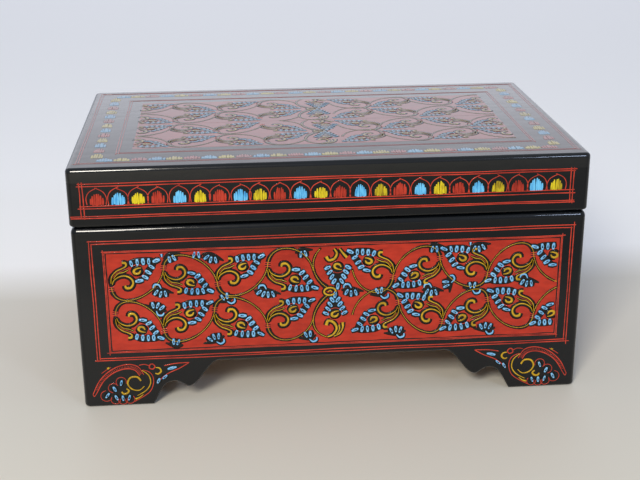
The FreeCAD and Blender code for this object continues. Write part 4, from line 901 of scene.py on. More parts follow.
    def ruled(self, left: float, right: float, low: float, high: float, gap: float = 1.25,
              width: float = 0.52, overrun: float = 1.6) -> None:
        """A double red line ruled round a rectangle, with the lines run past each other at the corners.

        Args:
            left: its left edge.
            right: its right edge.
            low: its lower edge.
            high: its upper edge.
            gap: between the two lines.
            width: of a line.
            overrun: how far a line may run past a corner.
        """
        for ring in range(2):
            d = ring * gap
            moved = [(left + d, high - d), (right - d, high - d), (right - d, low + d),
                     (left + d, low + d)]
            for a, b in zip(moved, moved[1:] + moved[:1]):
                self.rule(a, b, width, overrun if ring == 0 else overrun * 0.5)

    def rule(self, a: Point, b: Point, width: float = 0.52, overrun: float = 0.8) -> None:
        """One ruled line that wavers a little.

        Args:
            a: where it starts.
            b: where it ends.
            width: of the line.
            overrun: how far it may run past each end.
        """
        length = math.dist(a, b)
        ux, uy = (b[0] - a[0]) / length, (b[1] - a[1]) / length
        start = -overrun * self.work.hand.random()
        end = length + overrun * self.work.hand.random()
        count = max(3, int(length / 14))
        points = []
        for i in range(count + 1):
            s, off = start + (end - start) * i / count, self.work.wobble(0.13)
            points.append((a[0] + ux * s - uy * off, a[1] + uy * s + ux * off))
        widths = [width * (1 + self.work.wobble(0.18)) for _ in points]
        self.work.stroke(Tint.LINE, points, widths, steps=2)

    def dab(self, tint: Tint, u: float, low: float, width: float, height: float, strands: int = 6) -> None:
        """A blot of one colour, filled with side-by-side pulls of the brush.

        Args:
            tint: its colour.
            u: its middle.
            low: its lower edge.
            width: across.
            height: from its lower edge to the middle of its top.
            strands: how many pulls of the brush.
        """
        for k in range(strands):
            share = (k + 0.5) / strands - 0.5
            x = share * width + self.work.wobble(0.12)
            top = height * (1 - 0.5 * (2 * share) ** 2) + self.work.wobble(0.3)
            base = self.work.wobble(0.25) + 0.5 * abs(share)
            lean = self.work.wobble(0.2)
            local = [(x, base), (x + lean, top * 0.5), (x + lean * 1.3, top)]
            points = [(u + q, low + y) for q, y in local]
            w = width / strands * 1.25
            self.work.stroke(tint, points, [w * 0.8, w * 1.1, w * 0.6], steps=2)

    def arch(self, u: float, low: float, width: float, height: float) -> None:
        """A pointed arch in one red line, drawn in two pulls that cross at the point.

        Args:
            u: its middle.
            low: where it springs from.
            width: across.
            height: to the point.
        """
        for s in (-1, 1):
            h = height + self.work.wobble(0.5)
            points = [(u + s * width / 2, low), (u + s * (width * 0.53), low + h * 0.42),
                      (u + s * width * 0.36, low + h * 0.78),
                      (u - s * width * (0.03 + 0.04 * self.work.hand.random()), low + h * 1.03)]
            self.work.stroke(Tint.LINE, points, [0.5, 0.45, 0.45, 0.4], steps=4)

    def blob_band(self, left: float, right: float, low: float, pitch: float = 9.4) -> None:
        """A row of red, blue and yellow blots, each under its own pointed arch.

        Args:
            left: where the row starts.
            right: where it ends.
            low: the blots' lower edge.
            pitch: about how far apart they are.
        """
        count = round((right - left) / pitch)
        step = (right - left) / count
        colours = (Tint.DAB_RED, Tint.DAB_BLUE, Tint.DAB_YELLOW)
        for k in range(count):
            u = left + (k + 0.5) * step + self.work.wobble(0.4)
            width = 6.0 + self.work.wobble(0.4)
            self.dab(colours[k % 3], u, low, width, 5.9 + self.work.wobble(0.4), 7)
            self.arch(u + self.work.wobble(0.3), low + 0.3, 8.9, 8.0)


@dataclass
class HalfRow:
    """One half of a row of leaf scrolls: from the panel's axis outwards to one end."""

    height: float
    start: float
    pitch: float
    count: int
    first_up: bool
    mirror: bool


@dataclass
class Rinceau:
    """A red panel with two facing rows of leaf scrolls on wavy vines, mirrored about its axis."""

    painter: Painter
    left: float
    right: float
    low: float
    high: float
    rows: list[HalfRow]
    axis: float = 0.0
    lift: float = 4.0
    size: float = 1.0
    sprigs: list[tuple[float, float, float, int]] = field(default_factory=list)

    def half_row(self, row: HalfRow) -> None:
        """One half row of motifs and the vines that join them, down to a last bow towards the axis.

        Args:
            row: which half row.
        """
        painter, work = self.painter, self.painter.work
        sign = 1 if row.mirror else -1
        forks = []
        for k in range(row.count):
            up = row.first_up if k % 2 == 0 else not row.first_up
            u = self.axis + sign * (row.start + k * row.pitch) + work.wobble(0.6)
            v = row.height + (self.lift if up else -self.lift) * self.size + work.wobble(0.5)
            pose = Pose(u, v, work.wobble(3.5), self.size * (1 + work.wobble(0.03)), row.mirror, not up)
            painter.leaf_scroll(pose)
            forks.append((pose.at(-12.8, -8.2), up))
        inner = (self.axis + sign * 9.6 * self.size, row.height + work.wobble(0.5))
        for (start, up), end in zip(forks, [inner] + [fork for fork, _ in forks]):
            swing = (-13.0 if up else 13.0) * self.size
            painter.vine(start, (start[0] - sign * 0.5, start[1] + swing),
                         (end[0] + sign * 3.0, end[1] + swing * 1.15), end)

    def lay(self) -> None:
        """Paints the panel."""
        work = self.painter.work
        work.ground(self.left, self.right, self.low, self.high)
        work.clip = (self.left, self.right, self.low, self.high)
        for row in self.rows:
            self.half_row(row)
        heights = sorted({row.height for row in self.rows})
        self.middle(self.axis, heights[-1], heights[0])
        for u, v, turn, count in self.sprigs:
            self.painter.sprig(self.axis + u, v, turn, count)
        work.clip = None

    def middle(self, mid: float, upper: float, lower: float) -> None:
        """The middle of the panel: a small ring, a leaf down and a leaf up, and the vines that join them.

        Args:
            mid: the axis.
            upper: the upper row's height.
            lower: the lower row's height.
        """
        painter, between = self.painter, (upper + lower) / 2 + 0.8
        top, low = upper + 11.5, lower - 11.8
        ring = [(mid - 1.5 + 2.9 * math.cos(a), between + 2.0 * math.sin(a))
                for a in (math.tau * k / 10 for k in range(11))]
        painter.gold(ring, [0.9] * 11, halo=1.5, steps=2)
        curl = [(mid - 2.4, between - 0.2), (mid - 1.4, between + 0.5), (mid - 0.6, between - 0.2)]
        painter.gold(curl, [0.5, 0.8, 0.5])
        painter.vine((mid - 3.0, between + 2.2), (mid - 9.5, between + 7.0), (mid - 12.5, upper + 5.0),
                     (mid - 6.2, top))
        painter.vine((mid - 3.0, between - 2.2), (mid - 10.0, between - 8.0), (mid - 14.0, low + 4.0),
                     (mid - 3.2, low))
        scrolls = [
            ([(-3.2, upper + 7.4), (-2.0, upper + 5.4), (0.6, upper + 6.0), (2.0, upper + 8.8),
              (0.6, top - 0.2)], [1.6, 1.3, 1.2, 1.1, 0.6], 1.6),
            ([(3.2, top - 0.2), (4.8, upper + 9.0), (6.8, upper + 6.6)], [0.6, 1.0, 1.4], 1.5),
            ([(-3.4, lower - 5.4), (-2.4, lower - 3.0), (0.4, lower - 4.2), (1.8, lower - 7.4),
              (0.0, lower - 10.6), (-2.8, low)], [1.6, 1.4, 1.3, 1.1, 0.9, 0.6], 1.7),
            ([(4.8, lower - 4.2), (4.8, lower - 7.2), (3.2, lower - 10.2), (0.4, low + 0.2)],
             [1.5, 0.8, 0.7, 0.5], 1.4),
            ([(3.0, lower - 5.4), (3.2, lower - 8.0), (1.8, lower - 10.6)], [0.9, 0.6, 0.4], 0.9),
        ]
        for points, widths, halo in scrolls:
            painter.gold([(mid + x, y) for x, y in points], widths, halo=halo)
        leaves = ((Pose(mid + 2.4, upper + 1.8, flip_v=True), 5.0), (Pose(mid + 1.0, lower + 0.6), 4.6))
        for pose, spread in leaves:
            painter.work.stroke(Tint.INK, pose.line([(0.0, 1.0), (0.0, 6.0), (0.0, 10.4)]), [6.0, 7.0, 1.0])
            painter.eye(pose)
            for k in range(4):
                for s in (-1, 1):
                    painter.petal(pose, s * (spread - k * 1.05), 0.4 + k * 2.4, 90 - s * (58 - k * 9), 3.2)
            painter.petal(pose, 0.0, 10.2, 90, 3.4)


@dataclass
class FootOrnament:
    """The ornament on a bracket foot: a red hatched crescent, a scroll and petals in the corner."""

    painter: Painter
    corner: float
    mirror: bool

    def lay(self) -> None:
        """Paints it, with distances measured in from the box's corner and up from the sole."""
        painter, work = self.painter, self.painter.work
        pose = Pose(self.corner, 0.0, 0.0, 1.0, self.mirror)
        outer = [(4.6, 7.2), (8.4, 14.6), (14.6, 20.4), (21.8, 22.9), (27.4, 21.6), (30.2, 17.0)]
        inner = [(6.6, 8.0), (10.4, 14.4), (15.8, 18.8), (21.6, 20.6), (26.0, 19.6), (28.2, 16.4)]
        for line in (outer, inner):
            work.stroke(Tint.LINE, pose.line(line), [0.45, 0.6, 0.6, 0.6, 0.55, 0.4], steps=4)
        rails = [Stroke(line, [1.0], steps=8).sampled() for line in (outer, inner)]
        for (x0, y0, _), (x1, y1, _) in list(zip(*rails))[3:-2]:
            ends = [(x0 * 0.7 + x1 * 0.3, y0 * 0.7 + y1 * 0.3), (x1 * 0.8 + x0 * 0.2, y1 * 0.8 + y0 * 0.2)]
            work.stroke(Tint.LINE, pose.line(ends), [0.24, 0.24], steps=1)
        tails = ([outer[0], (5.2, 6.0), inner[0]],
                 [(9.6, 18.6), (11.8, 20.2), (14.4, 21.8)],
                 [(28.2, 22.2), (31.0, 22.6), (33.6, 21.4)],
                 [(29.8, 19.6), (32.8, 18.4), (34.6, 16.0), (34.8, 12.0), (33.0, 7.6), (28.8, 4.4),
                  (24.8, 2.2)])
        for line in tails:
            work.stroke(Tint.LINE, pose.line(line), [0.42] * len(line))
        knob = [(34.8, 22.6), (36.0, 21.2), (34.9, 19.8), (33.3, 20.4), (33.4, 22.0)]
        work.stroke(Tint.LINE, pose.line(knob), [0.7] * 5, closed=True)
        work.stroke(Tint.YELLOW, pose.line([(12.6, 21.0), (13.6, 21.6)]), [1.2, 0.9], steps=1)
        scrolls = (
            ([(36.3, 20.6), (38.2, 20.2), (38.9, 18.4), (37.4, 17.0), (36.0, 17.5)],
             [0.5, 0.8, 1.0, 0.9, 0.6]),
            ([(26.4, 5.4), (31.0, 8.2), (33.4, 12.2), (32.6, 16.6), (29.4, 19.4)],
             [0.4, 0.6, 0.6, 0.6, 0.4]),
            ([(28.6, 13.6), (27.0, 15.8), (23.6, 15.6), (22.0, 12.4), (24.0, 9.2), (27.6, 8.4),
              (30.2, 10.6)], [1.0, 1.0, 1.0, 0.9, 0.8, 0.6, 0.4]),
            ([(25.4, 3.6), (27.4, 4.4), (29.4, 6.0)], [1.1, 0.7, 0.4]),
        )
        for points, widths in scrolls:
            painter.gold(pose.line(points), widths, halo=0.3)
        eye = [(18.8, 8.0), (19.6, 6.8), (21.4, 7.0), (22.4, 8.4), (21.2, 9.6)]
        work.stroke(Tint.YELLOW, pose.line(eye), [0.9, 1.1, 1.1, 1.0, 0.7])
        petals = ((18.9, 12.9, 70, 3.0), (15.4, 9.6, 115, 3.0), (16.0, 4.8, 110, 2.9), (19.2, 4.4, 92, 3.0),
                  (22.4, 4.5, 75, 2.9), (37.4, 13.2, 60, 3.0), (40.6, 15.2, 45, 3.0))
        for x, y, angle, length in petals:
            painter.petal(pose, x, y, angle, length, 1.5)
        painter.petal(pose, 11.7, 6.2, 60, 3.2, 1.6)
        scallops = ((18.9, 13.4, 2.6, 5), (14.9, 10.2, 2.6, 55), (11.3, 6.0, 3.0, 120),
                    (15.6, 3.7, 2.4, 165), (19.2, 3.3, 2.3, 180), (22.7, 3.7, 2.4, 200))
        for x, y, r, facing in scallops:  # open bows whose ends meet, round the outside of the petals
            turns = [math.radians(facing + 90 + step) for step in (-115, -75, -35, 0, 35, 75, 115)]
            bow = [(x + r * math.cos(a), y + r * math.sin(a)) for a in turns]
            work.stroke(Tint.LINE, pose.line(bow), [0.34] * 7, steps=2)
        tip = [(42.2, 19.4), (44.2, 19.9), (46.6, 20.4)]
        work.stroke(Tint.BLUE, pose.line(tip), [0.9, 1.7, 0.8])
        work.stroke(Tint.SLIT, pose.line([(43.2, 19.6), (45.6, 20.2)]), [0.4, 0.3], steps=1)
        point = ([(40.6, 21.4), (46.0, 22.4), (53.0, 22.6)],
                 [(53.0, 22.6), (48.0, 19.6), (41.8, 16.8), (36.4, 12.2)])
        for line in point:
            work.stroke(Tint.LINE, pose.line(line), [0.5] * len(line), steps=3)


# ---------------------------------------------------------------- sub-assemblies
def dress(node: str, finish: Finish) -> None:
    """Gives a CAD node its finish and smooth shading across its rounded edges.

    Args:
        node: the node's name.
        finish: what it is made of.
    """
    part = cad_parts[node]
    part.data.materials.clear()
    part.data.materials.append(finish.material())
    shade_smooth(part.data)
    weld = part.modifiers.new("weld", "WELD")
    weld.merge_threshold = 2 * MERGE_DISTANCE
    split = part.modifiers.new("creases", "EDGE_SPLIT")
    split.split_angle = CREASE
    log.info("%s: %s", node, finish.name)


def piece_from(bm: bmesh.types.BMesh, name: str, body: str, finish: Finish) -> bpy.types.Object:
    """Makes a finished bmesh a piece that rides on a body.

    Args:
        bm: the shape, which is freed.
        name: the piece's name.
        body: what it moves with.
        finish: what it is made of.

    Returns:
        The piece.
    """
    bmesh.ops.remove_doubles(bm, verts=bm.verts[:], dist=MERGE_DISTANCE)
    bmesh.ops.recalc_face_normals(bm, faces=bm.faces[:])
    mesh = bpy.data.meshes.new(name)
    bm.to_mesh(mesh)
    bm.free()
    mesh.materials.append(finish.material())
    shade_smooth(mesh)
    piece = bpy.data.objects.new(name, mesh)
    bpy.context.scene.collection.objects.link(piece)
    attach(piece, body)
    log.info("%s: %s", name, finish.name)
    return piece


def node_box(node: str) -> tuple[Vector, Vector]:
    """A CAD node's lowest and highest corners."""
    low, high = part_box(node)
    return Vector(low), Vector(high)


def outer_face(node: str, side: Side, body: str, front_and_back: tuple[str, str]) -> Face:
    """The outer face of a board or rail. A side's middle is halfway from the front's face to the back's.

    Args:
        node: the board.
        side: the way it looks.
        body: what it moves with.
        front_and_back: the two boards that set the middle of a side.

    Returns:
        The face.
    """
    low, high = node_box(node)
    middle_y = (node_box(front_and_back[0])[0].y + node_box(front_and_back[1])[1].y) / 2
    origin = {Side.FRONT: (0, low.y, 0), Side.BACK: (0, high.y, 0),
              Side.LEFT: (low.x, middle_y, 0), Side.RIGHT: (high.x, middle_y, 0)}[side]
    return Face(side, origin, body)


def puff(piece: bpy.types.Object, voxel_mm: float, cap_mm: float, pressure: float = 4.0) -> None:
    """Blows a padded piece up as cloth with a little pressure inside, and keeps the result in its mesh.

    Args:
        piece: the closed shape, a little smaller than it ends up.
        voxel_mm: the cloth's mesh size.
        cap_mm: how far a point may move.
        pressure: inside the cover.
    """
    remesh = piece.modifiers.new("remesh", "REMESH")
    remesh.mode = "VOXEL"
    remesh.voxel_size = voxel_mm * MM
    even = bpy.data.meshes.new_from_object(piece.evaluated_get(bpy.context.evaluated_depsgraph_get()))
    piece.modifiers.clear()
    worn = piece.data
    piece.data = even
    bpy.data.meshes.remove(worn)
    start = np.empty(len(even.vertices) * 3)
    even.vertices.foreach_get("co", start)
    start = start.reshape(-1, 3)
    held = piece.vertex_groups.new(name="held")
    floor = float(start[:, 2].min()) + voxel_mm * MM * 0.6
    held.add([int(i) for i in np.nonzero(start[:, 2] < floor)[0]], 1.0, "REPLACE")
    cloth = piece.modifiers.new("cloth", "CLOTH")
    cloth.settings.use_pressure = True
    cloth.settings.uniform_pressure_force = pressure
    cloth.settings.vertex_group_mass = "held"
    cloth.settings.effector_weights.gravity = 0.0
    cloth.collision_settings.use_collision = False
    scene = bpy.context.scene
    for step in range(1, CLOTH_STEPS + 1):
        scene.frame_set(step)
    blown = piece.evaluated_get(bpy.context.evaluated_depsgraph_get()).data
    end = np.empty(len(even.vertices) * 3)
    blown.vertices.foreach_get("co", end)
    piece.modifiers.clear()
    scene.frame_set(1)
    shift = end.reshape(-1, 3) - start
    reach = np.linalg.norm(shift, axis=1, keepdims=True)
    shift *= np.minimum(1.0, cap_mm * MM / np.maximum(reach, 1e-9))
    even.vertices.foreach_set("co", (start + shift).ravel())
    shade_smooth(even)
    even.update()
    log.info("%s: puffed, %d vertices, moved %.2f mm at most", piece.name, len(start),
             float(np.abs(shift).max()) / MM)


def fill_box(bm: bmesh.types.BMesh, verts: list[bmesh.types.BMVert], low: Vector, high: Vector) -> None:
    """Stretches a unit shape at the origin to fill a box.

    Args:
        bm: the shape.
        verts: its points.
        low: the box's lowest corner.
        high: its highest corner.
    """
    place = Matrix.Translation((low + high) / 2) @ Matrix.Diagonal((*(high - low), 1.0))
    bmesh.ops.transform(bm, matrix=place, verts=verts)


def keep_inside(piece: bpy.types.Object, node: str) -> None:
    """Presses a piece's points back into the space of the CAD node it stands for.

    Args:
        piece: the piece.
        node: the CAD node.
    """
    low, high = node_box(node)
    for vert in piece.data.vertices:
        for axis in range(3):
            vert.co[axis] = min(max(vert.co[axis], low[axis]), high[axis])
    piece.data.update()


def soften(piece: bpy.types.Object, levels: int) -> None:
    """Adds a subdivision surface with the same level in view and render.

    Args:
        piece: the piece.
        levels: how many times it is divided.
    """
    smooth = piece.modifiers.new("soft", "SUBSURF")
    smooth.levels = levels
    smooth.render_levels = levels


# Sprigs in the gaps of a long board's panel: right and up on the board in mm, turn in
# degrees, petals.
SPRIGS = [
    (-106, 57.0, 200, 2), (-107, 78.0, 40, 2), (-84, 60.5, 170, 3), (-86, 53.5, -20, 3), (-106, 33.5, 20, 2),
    (-78, 78.5, 200, 2), (-66, 80.0, 180, 2), (-59, 77.5, 160, 3), (-53, 57.0, 20, 2), (-33, 58.0, 170, 4),
    (-59, 35.5, 20, 3), (-78, 33.8, -10, 2), (-14.5, 78.5, 190, 2), (-12.5, 35.0, 10, 2), (9.0, 57.0, 175, 3),
    (23.0, 57.0, 10, 2), (50, 78.5, 180, 2), (72, 78.0, 190, 3), (69.5, 58.0, 0, 2), (97, 58.5, 170, 3),
    (77, 35.5, 0, 3), (31.5, 35.5, 5, 3), (49.0, 55.5, 175, 3), (56.5, 59.5, 100, 2),
]


@dataclass
class Case:
    """The case: four painted boards with bracket feet, its floor and its blocks."""

    frame_in: float = 7.6          # of the ruled frame from the board's ends, mm
    panel_in: float = 14.3         # of the red panel from the board's ends, mm
    skew: float = 1.6              # of a long board's panel to the right, mm
    body: str = "case"

    def paint_board(self, node: str, side: Side, half: float, seed: int) -> None:
        """Paints one board: frame lines, the red panel with its scrolls, and both feet.

        Args:
            node: the board.
            side: the way it looks.
            half: half its length in millimetres.
            seed: for the hand's small errors.
        """
        face = outer_face(node, side, self.body, ("front_board", "back_board"))
        work = Brushwork(face, f"{node}_art", seed)
        painter = Painter(work)
        frame_half, panel_half = half - self.frame_in, half - self.panel_in
        long = half > LONG_HALF
        shift = self.skew if long else 0.0
        painter.ruled(-frame_half + shift * 0.4, frame_half + shift, 25.4, 88.2)
        left, right = -panel_half + shift, panel_half + shift
        painter.ruled(left - 1.4, right + 1.4, 29.4, 82.9, gap=0.6, width=0.4)
        on_left, on_right = (4, 5) if long else (2, 3)
        rows = [HalfRow(69.0, 18.6, 25.2, on_left, False, False),
                HalfRow(69.0, 17.6, 23.1, on_right, True, True),
                HalfRow(45.2, 20.4, 24.8, on_left, True, False),
                HalfRow(45.2, 19.6, 22.7, on_right, False, True)]
        sprigs = [sprig for sprig in SPRIGS if abs(sprig[0]) < half - 20]
        Rinceau(painter, left, right, 30.7, 81.6, rows, sprigs=sprigs).lay()
        FootOrnament(painter, -half, False).lay()
        FootOrnament(painter, half, True).lay()
        work.lay()

    def build(self) -> None:
        """Dresses and paints the case."""
        for node in ("front_board", "back_board", "left_board", "right_board"):
            dress(node, LACQUER)
        dress("bottom_panel", BARE_WOOD)
        dress("corner_blocks", BARE_WOOD)
        dress("bay_partition", PARTITION_BLACK)
        dress("cross_partition", PARTITION_BLACK)
        long_half = (node_box("right_board")[1].x - node_box("left_board")[0].x) / 2 / MM
        short_half = (node_box("back_board")[1].y - node_box("front_board")[0].y) / 2 / MM
        self.paint_board("front_board", Side.FRONT, long_half, 11)
        self.paint_board("back_board", Side.BACK, long_half, 12)
        self.paint_board("left_board", Side.LEFT, short_half, 13)
        self.paint_board("right_board", Side.RIGHT, short_half, 14)


@dataclass
class Lid:
    """The hollow lid: a painted top board, painted rails, lining, mirror and the stop's striker."""

    body: str = "lid"
    dab_rows_in: float = 13.5      # of the top's border dabs from its edge, mm

    def paint_rail(self, node: str, side: Side, half: float, seed: int) -> None:
        """Paints one rail's band of arches.

        Args:
            node: the rail.
            side: the way it looks.
            half: half its length in millimetres.
            seed: for the hand's small errors.
        """
        face = outer_face(node, side, self.body, ("lid_front_rail", "lid_back_rail"))
        work = Brushwork(face, f"{node}_art", seed)
        painter = Painter(work)
        left, right = -half + 6.2, half - 8.2
        for v in (117.4, 116.0, 106.2, 105.0, 101.2, 100.1):
            start = left - (4.0 if v < 102 and half > LONG_HALF else 0.3)
            painter.rule((start, v + work.wobble(0.2)), (right + 0.4, v + work.wobble(0.3)), 0.5, 1.4)
        for u in (left, left + 1.4, right - 1.6, right):
            painter.rule((u, 117.6), (u + work.wobble(0.3), 100.2), 0.5, 0.6)
        painter.blob_band(left + 3.2, right - 3.4, 106.5)
        work.lay()

    def paint_top(self) -> None:
        """Paints the top: border of dabs, ruled lines and the scroll panel."""
        low, high = node_box("lid_top_board")
        middle = (low + high) / 2
        half_u, half_v = (high.x - low.x) / 2 / MM, (high.y - low.y) / 2 / MM
        face = Face(Side.TOP, (middle.x, middle.y, high.z), self.body)
        # The top's paint is a darker copy of each colour, painted shade for its stronger light from above.
        work = Brushwork(face, "lid_top_art", 21, gloss_and_painted_shade=True)
        painter = Painter(work)
        painter.ruled(-half_u + 4.4, half_u - 4.4, -half_v + 7.8, half_v - 6.0)
        painter.ruled(-half_u + 22.0, half_u - 22.0, -half_v + 24.0, half_v - 24.0)
        colours = (Tint.DAB_BLUE, Tint.DAB_YELLOW, Tint.DAB_RED)
        rows_v, cols_u = half_v - self.dab_rows_in, half_u - self.dab_rows_in
        across, along = 27, 13
        for k in range(across):
            u = (k - (across - 1) / 2) * (2 * cols_u - 8.0) / (across - 1)
            for v in (-rows_v - 2.6, rows_v - 2.6):
                painter.dab(colours[k % 3], u, v, 7.6, 5.2, 6)
        for k in range(along):
            v = (k - (along - 1) / 2) * (2 * rows_v - 14.0) / (along - 1)
            for u in (-cols_u, cols_u):
                painter.dab(colours[(k + 1) % 3], u, v - 3.6, 5.4, 7.6, 5)
        panel_u, panel_v = half_u - 29.5, half_v - 31.0
        for band in (-1, 1):
            low_v, high_v = band * panel_v / 2 - 11.6, band * panel_v / 2 + 11.6
            rows = [HalfRow(v, 18.6, 23.4, 4, up != mirror, mirror)
                    for v, up in ((high_v, False), (low_v, True)) for mirror in (False, True)]
            Rinceau(painter, -panel_u, panel_u, low_v - 11.9, high_v + 11.9, rows, size=0.95).lay()
        work.lay()

    def lining(self) -> None:
        """The velvet-covered card under the top board, with a soft rounded edge."""
        low, high = node_box("lid_lining")
        bm = bmesh.new()
        bmesh.ops.create_cube(bm, size=1.0)
        fill_box(bm, bm.verts[:], low, high)
        level = [e for e in bm.edges if abs(e.verts[0].co.z - e.verts[1].co.z) < 1e-6]
        bmesh.ops.subdivide_edges(bm, edges=level, cuts=9, use_grid_fill=True)
        rims = [e for e in bm.edges if e.calc_face_angle(0.0) > 1.0]
        bmesh.ops.bevel(bm, geom=rims, offset=0.7 * MM, segments=3, profile=0.5, affect="EDGES", material=-1)
        piece = piece_from(bm, "lid_lining_velvet", self.body, RED_VELVET)
        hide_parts("lid_lining")

    def build(self) -> None:
        """Dresses and paints the lid."""
        dress("lid_top_board", TOP_LACQUER)
        for node in ("lid_front_rail", "lid_back_rail", "lid_left_rail", "lid_right_rail"):
            dress(node, LACQUER)
        dress("lid_mirror", MIRROR)
        dress("mirror_frame", DARK_WOOD)
        dress("stop_striker", DARK_WOOD)
        self.lining()
        long_half = (node_box("lid_right_rail")[1].x - node_box("lid_left_rail")[0].x) / 2 / MM
        short_half = (node_box("lid_back_rail")[1].y - node_box("lid_front_rail")[0].y) / 2 / MM
        self.paint_rail("lid_front_rail", Side.FRONT, long_half, 31)
        self.paint_rail("lid_back_rail", Side.BACK, long_half, 32)
        self.paint_rail("lid_left_rail", Side.LEFT, short_half, 33)
        self.paint_rail("lid_right_rail", Side.RIGHT, short_half, 34)
        self.paint_top()


@dataclass
class Compartments:
    """The velvet in the case: lining cards, a crowned floor pad and a cushion of ring rolls."""

    body: str = "case"
    roll_count: int = 6
    card_mm: float = 1.5           # a lining card's thickness
    card_gap_mm: float = 0.1       # between cards at the corners
    edge_mm: float = 0.5           # a card's rounding
    roll_edge_mm: float = 1.6      # a roll's rounding at its ends

    def cards(self) -> None:
        """The four lining cards, each a velvet-covered board with rounded edges."""
        low, high = node_box("compartment_lining")
        t, gap = self.card_mm * MM, self.card_gap_mm * MM
        near, far = low.y + t + gap, high.y - t - gap
        spans = ((low.x, high.x, low.y, low.y + t), (low.x, high.x, high.y - t, high.y),
                 (low.x, low.x + t, near, far), (high.x - t, high.x, near, far))
        bm = bmesh.new()
        for x0, x1, y0, y1 in spans:
            made = bmesh.ops.create_cube(bm, size=1.0)["verts"]
            fill_box(bm, made, Vector((x0, y0, low.z)), Vector((x1, y1, high.z)))
        bmesh.ops.bevel(bm, geom=bm.edges[:], offset=self.edge_mm * MM, segments=3, profile=0.5,
                        affect="EDGES", material=-1)
        piece = piece_from(bm, "compartment_lining_velvet", self.body, RED_VELVET)
        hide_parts("compartment_lining")

    def pad(self) -> None:
        """The floor pad: crowned, with its edges turned down."""
        low, high = node_box("compartment_pad")
        bm = bmesh.new()
        bmesh.ops.create_grid(bm, x_segments=36, y_segments=30, size=0.5)
        size, centre = high - low, (low + high) / 2
        spread = Matrix.Translation(centre) @ Matrix.Diagonal((size.x, size.y, 1.0, 1.0))
        bmesh.ops.transform(bm, matrix=spread, verts=bm.verts)
        hand = random.Random(5)
        for vert in bm.verts:
            a, b = abs(vert.co.x - centre.x) / size.x * 2, abs(vert.co.y - centre.y) / size.y * 2
            crown = max(0.0, 1 - a ** 8) * max(0.0, 1 - b ** 8)
            uneven = hand.uniform(-0.05 * MM, 0.05 * MM)
            vert.co.z = low.z + size.z * (0.35 + 0.62 * crown ** 0.5) + uneven
        top = bm.faces[:]
        sides = bmesh.ops.extrude_face_region(bm, geom=top)["geom"]
        for vert in [g for g in sides if isinstance(g, bmesh.types.BMVert)]:
            vert.co.z = low.z
        piece = piece_from(bm, "compartment_pad_velvet", self.body, RED_VELVET)
        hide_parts("compartment_pad")
        puff(piece, 1.6, 0.9)
        keep_inside(piece, "compartment_pad")
        soften(piece, 1)

    def rolls(self) -> None:
        """The ring cushion: velvet rolls laid side by side on a covered block."""
        low, high = node_box("ring_cushion")
        pitch = (high.y - low.y) / self.roll_count
        radius = pitch / 2 * 0.985
        bm = bmesh.new()
        for k in range(self.roll_count):
            y = low.y + (k + 0.5) * pitch
            place = Matrix.Translation(((low.x + high.x) / 2, y, high.z - radius))
            made = bmesh.ops.create_cone(bm, cap_ends=True, segments=28, radius1=radius, radius2=radius,
                                         depth=(high.x - low.x) * 0.985,
                                         matrix=place @ Matrix.Rotation(math.pi / 2, 4, "Y"))["verts"]
            own = set(made)
            rims = [e for e in bm.edges if own.issuperset(e.verts) and e.calc_face_angle(0.0) > 1.2]
            bmesh.ops.bevel(bm, geom=rims, offset=self.roll_edge_mm * MM, segments=3, profile=0.5,
                            affect="EDGES", material=-1)
        block = bmesh.ops.create_cube(bm, size=1.0)["verts"]
        top = high.z - radius * 1.15
        middle = Vector(((low.x + high.x) / 2, (low.y + high.y) / 2, (low.z + top) / 2))
        size = Matrix.Diagonal(((high.x - low.x) * 0.99, (high.y - low.y) * 0.99, top - low.z, 1.0))
        bmesh.ops.transform(bm, matrix=Matrix.Translation(middle) @ size, verts=block)
        piece = piece_from(bm, "ring_rolls_velvet", self.body, RED_VELVET)
        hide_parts("ring_cushion")
        puff(piece, 1.3, 0.8)
        keep_inside(piece, "ring_cushion")

    def build(self) -> None:
        """Builds the velvet and dresses the movement's cover."""
        self.cards()
        self.pad()
        self.rolls()
        dress("cover_ledges", BARE_WOOD)
        dress("cover_pane", ACRYLIC)
        dress("cover_screws", HINGE_BRASS)


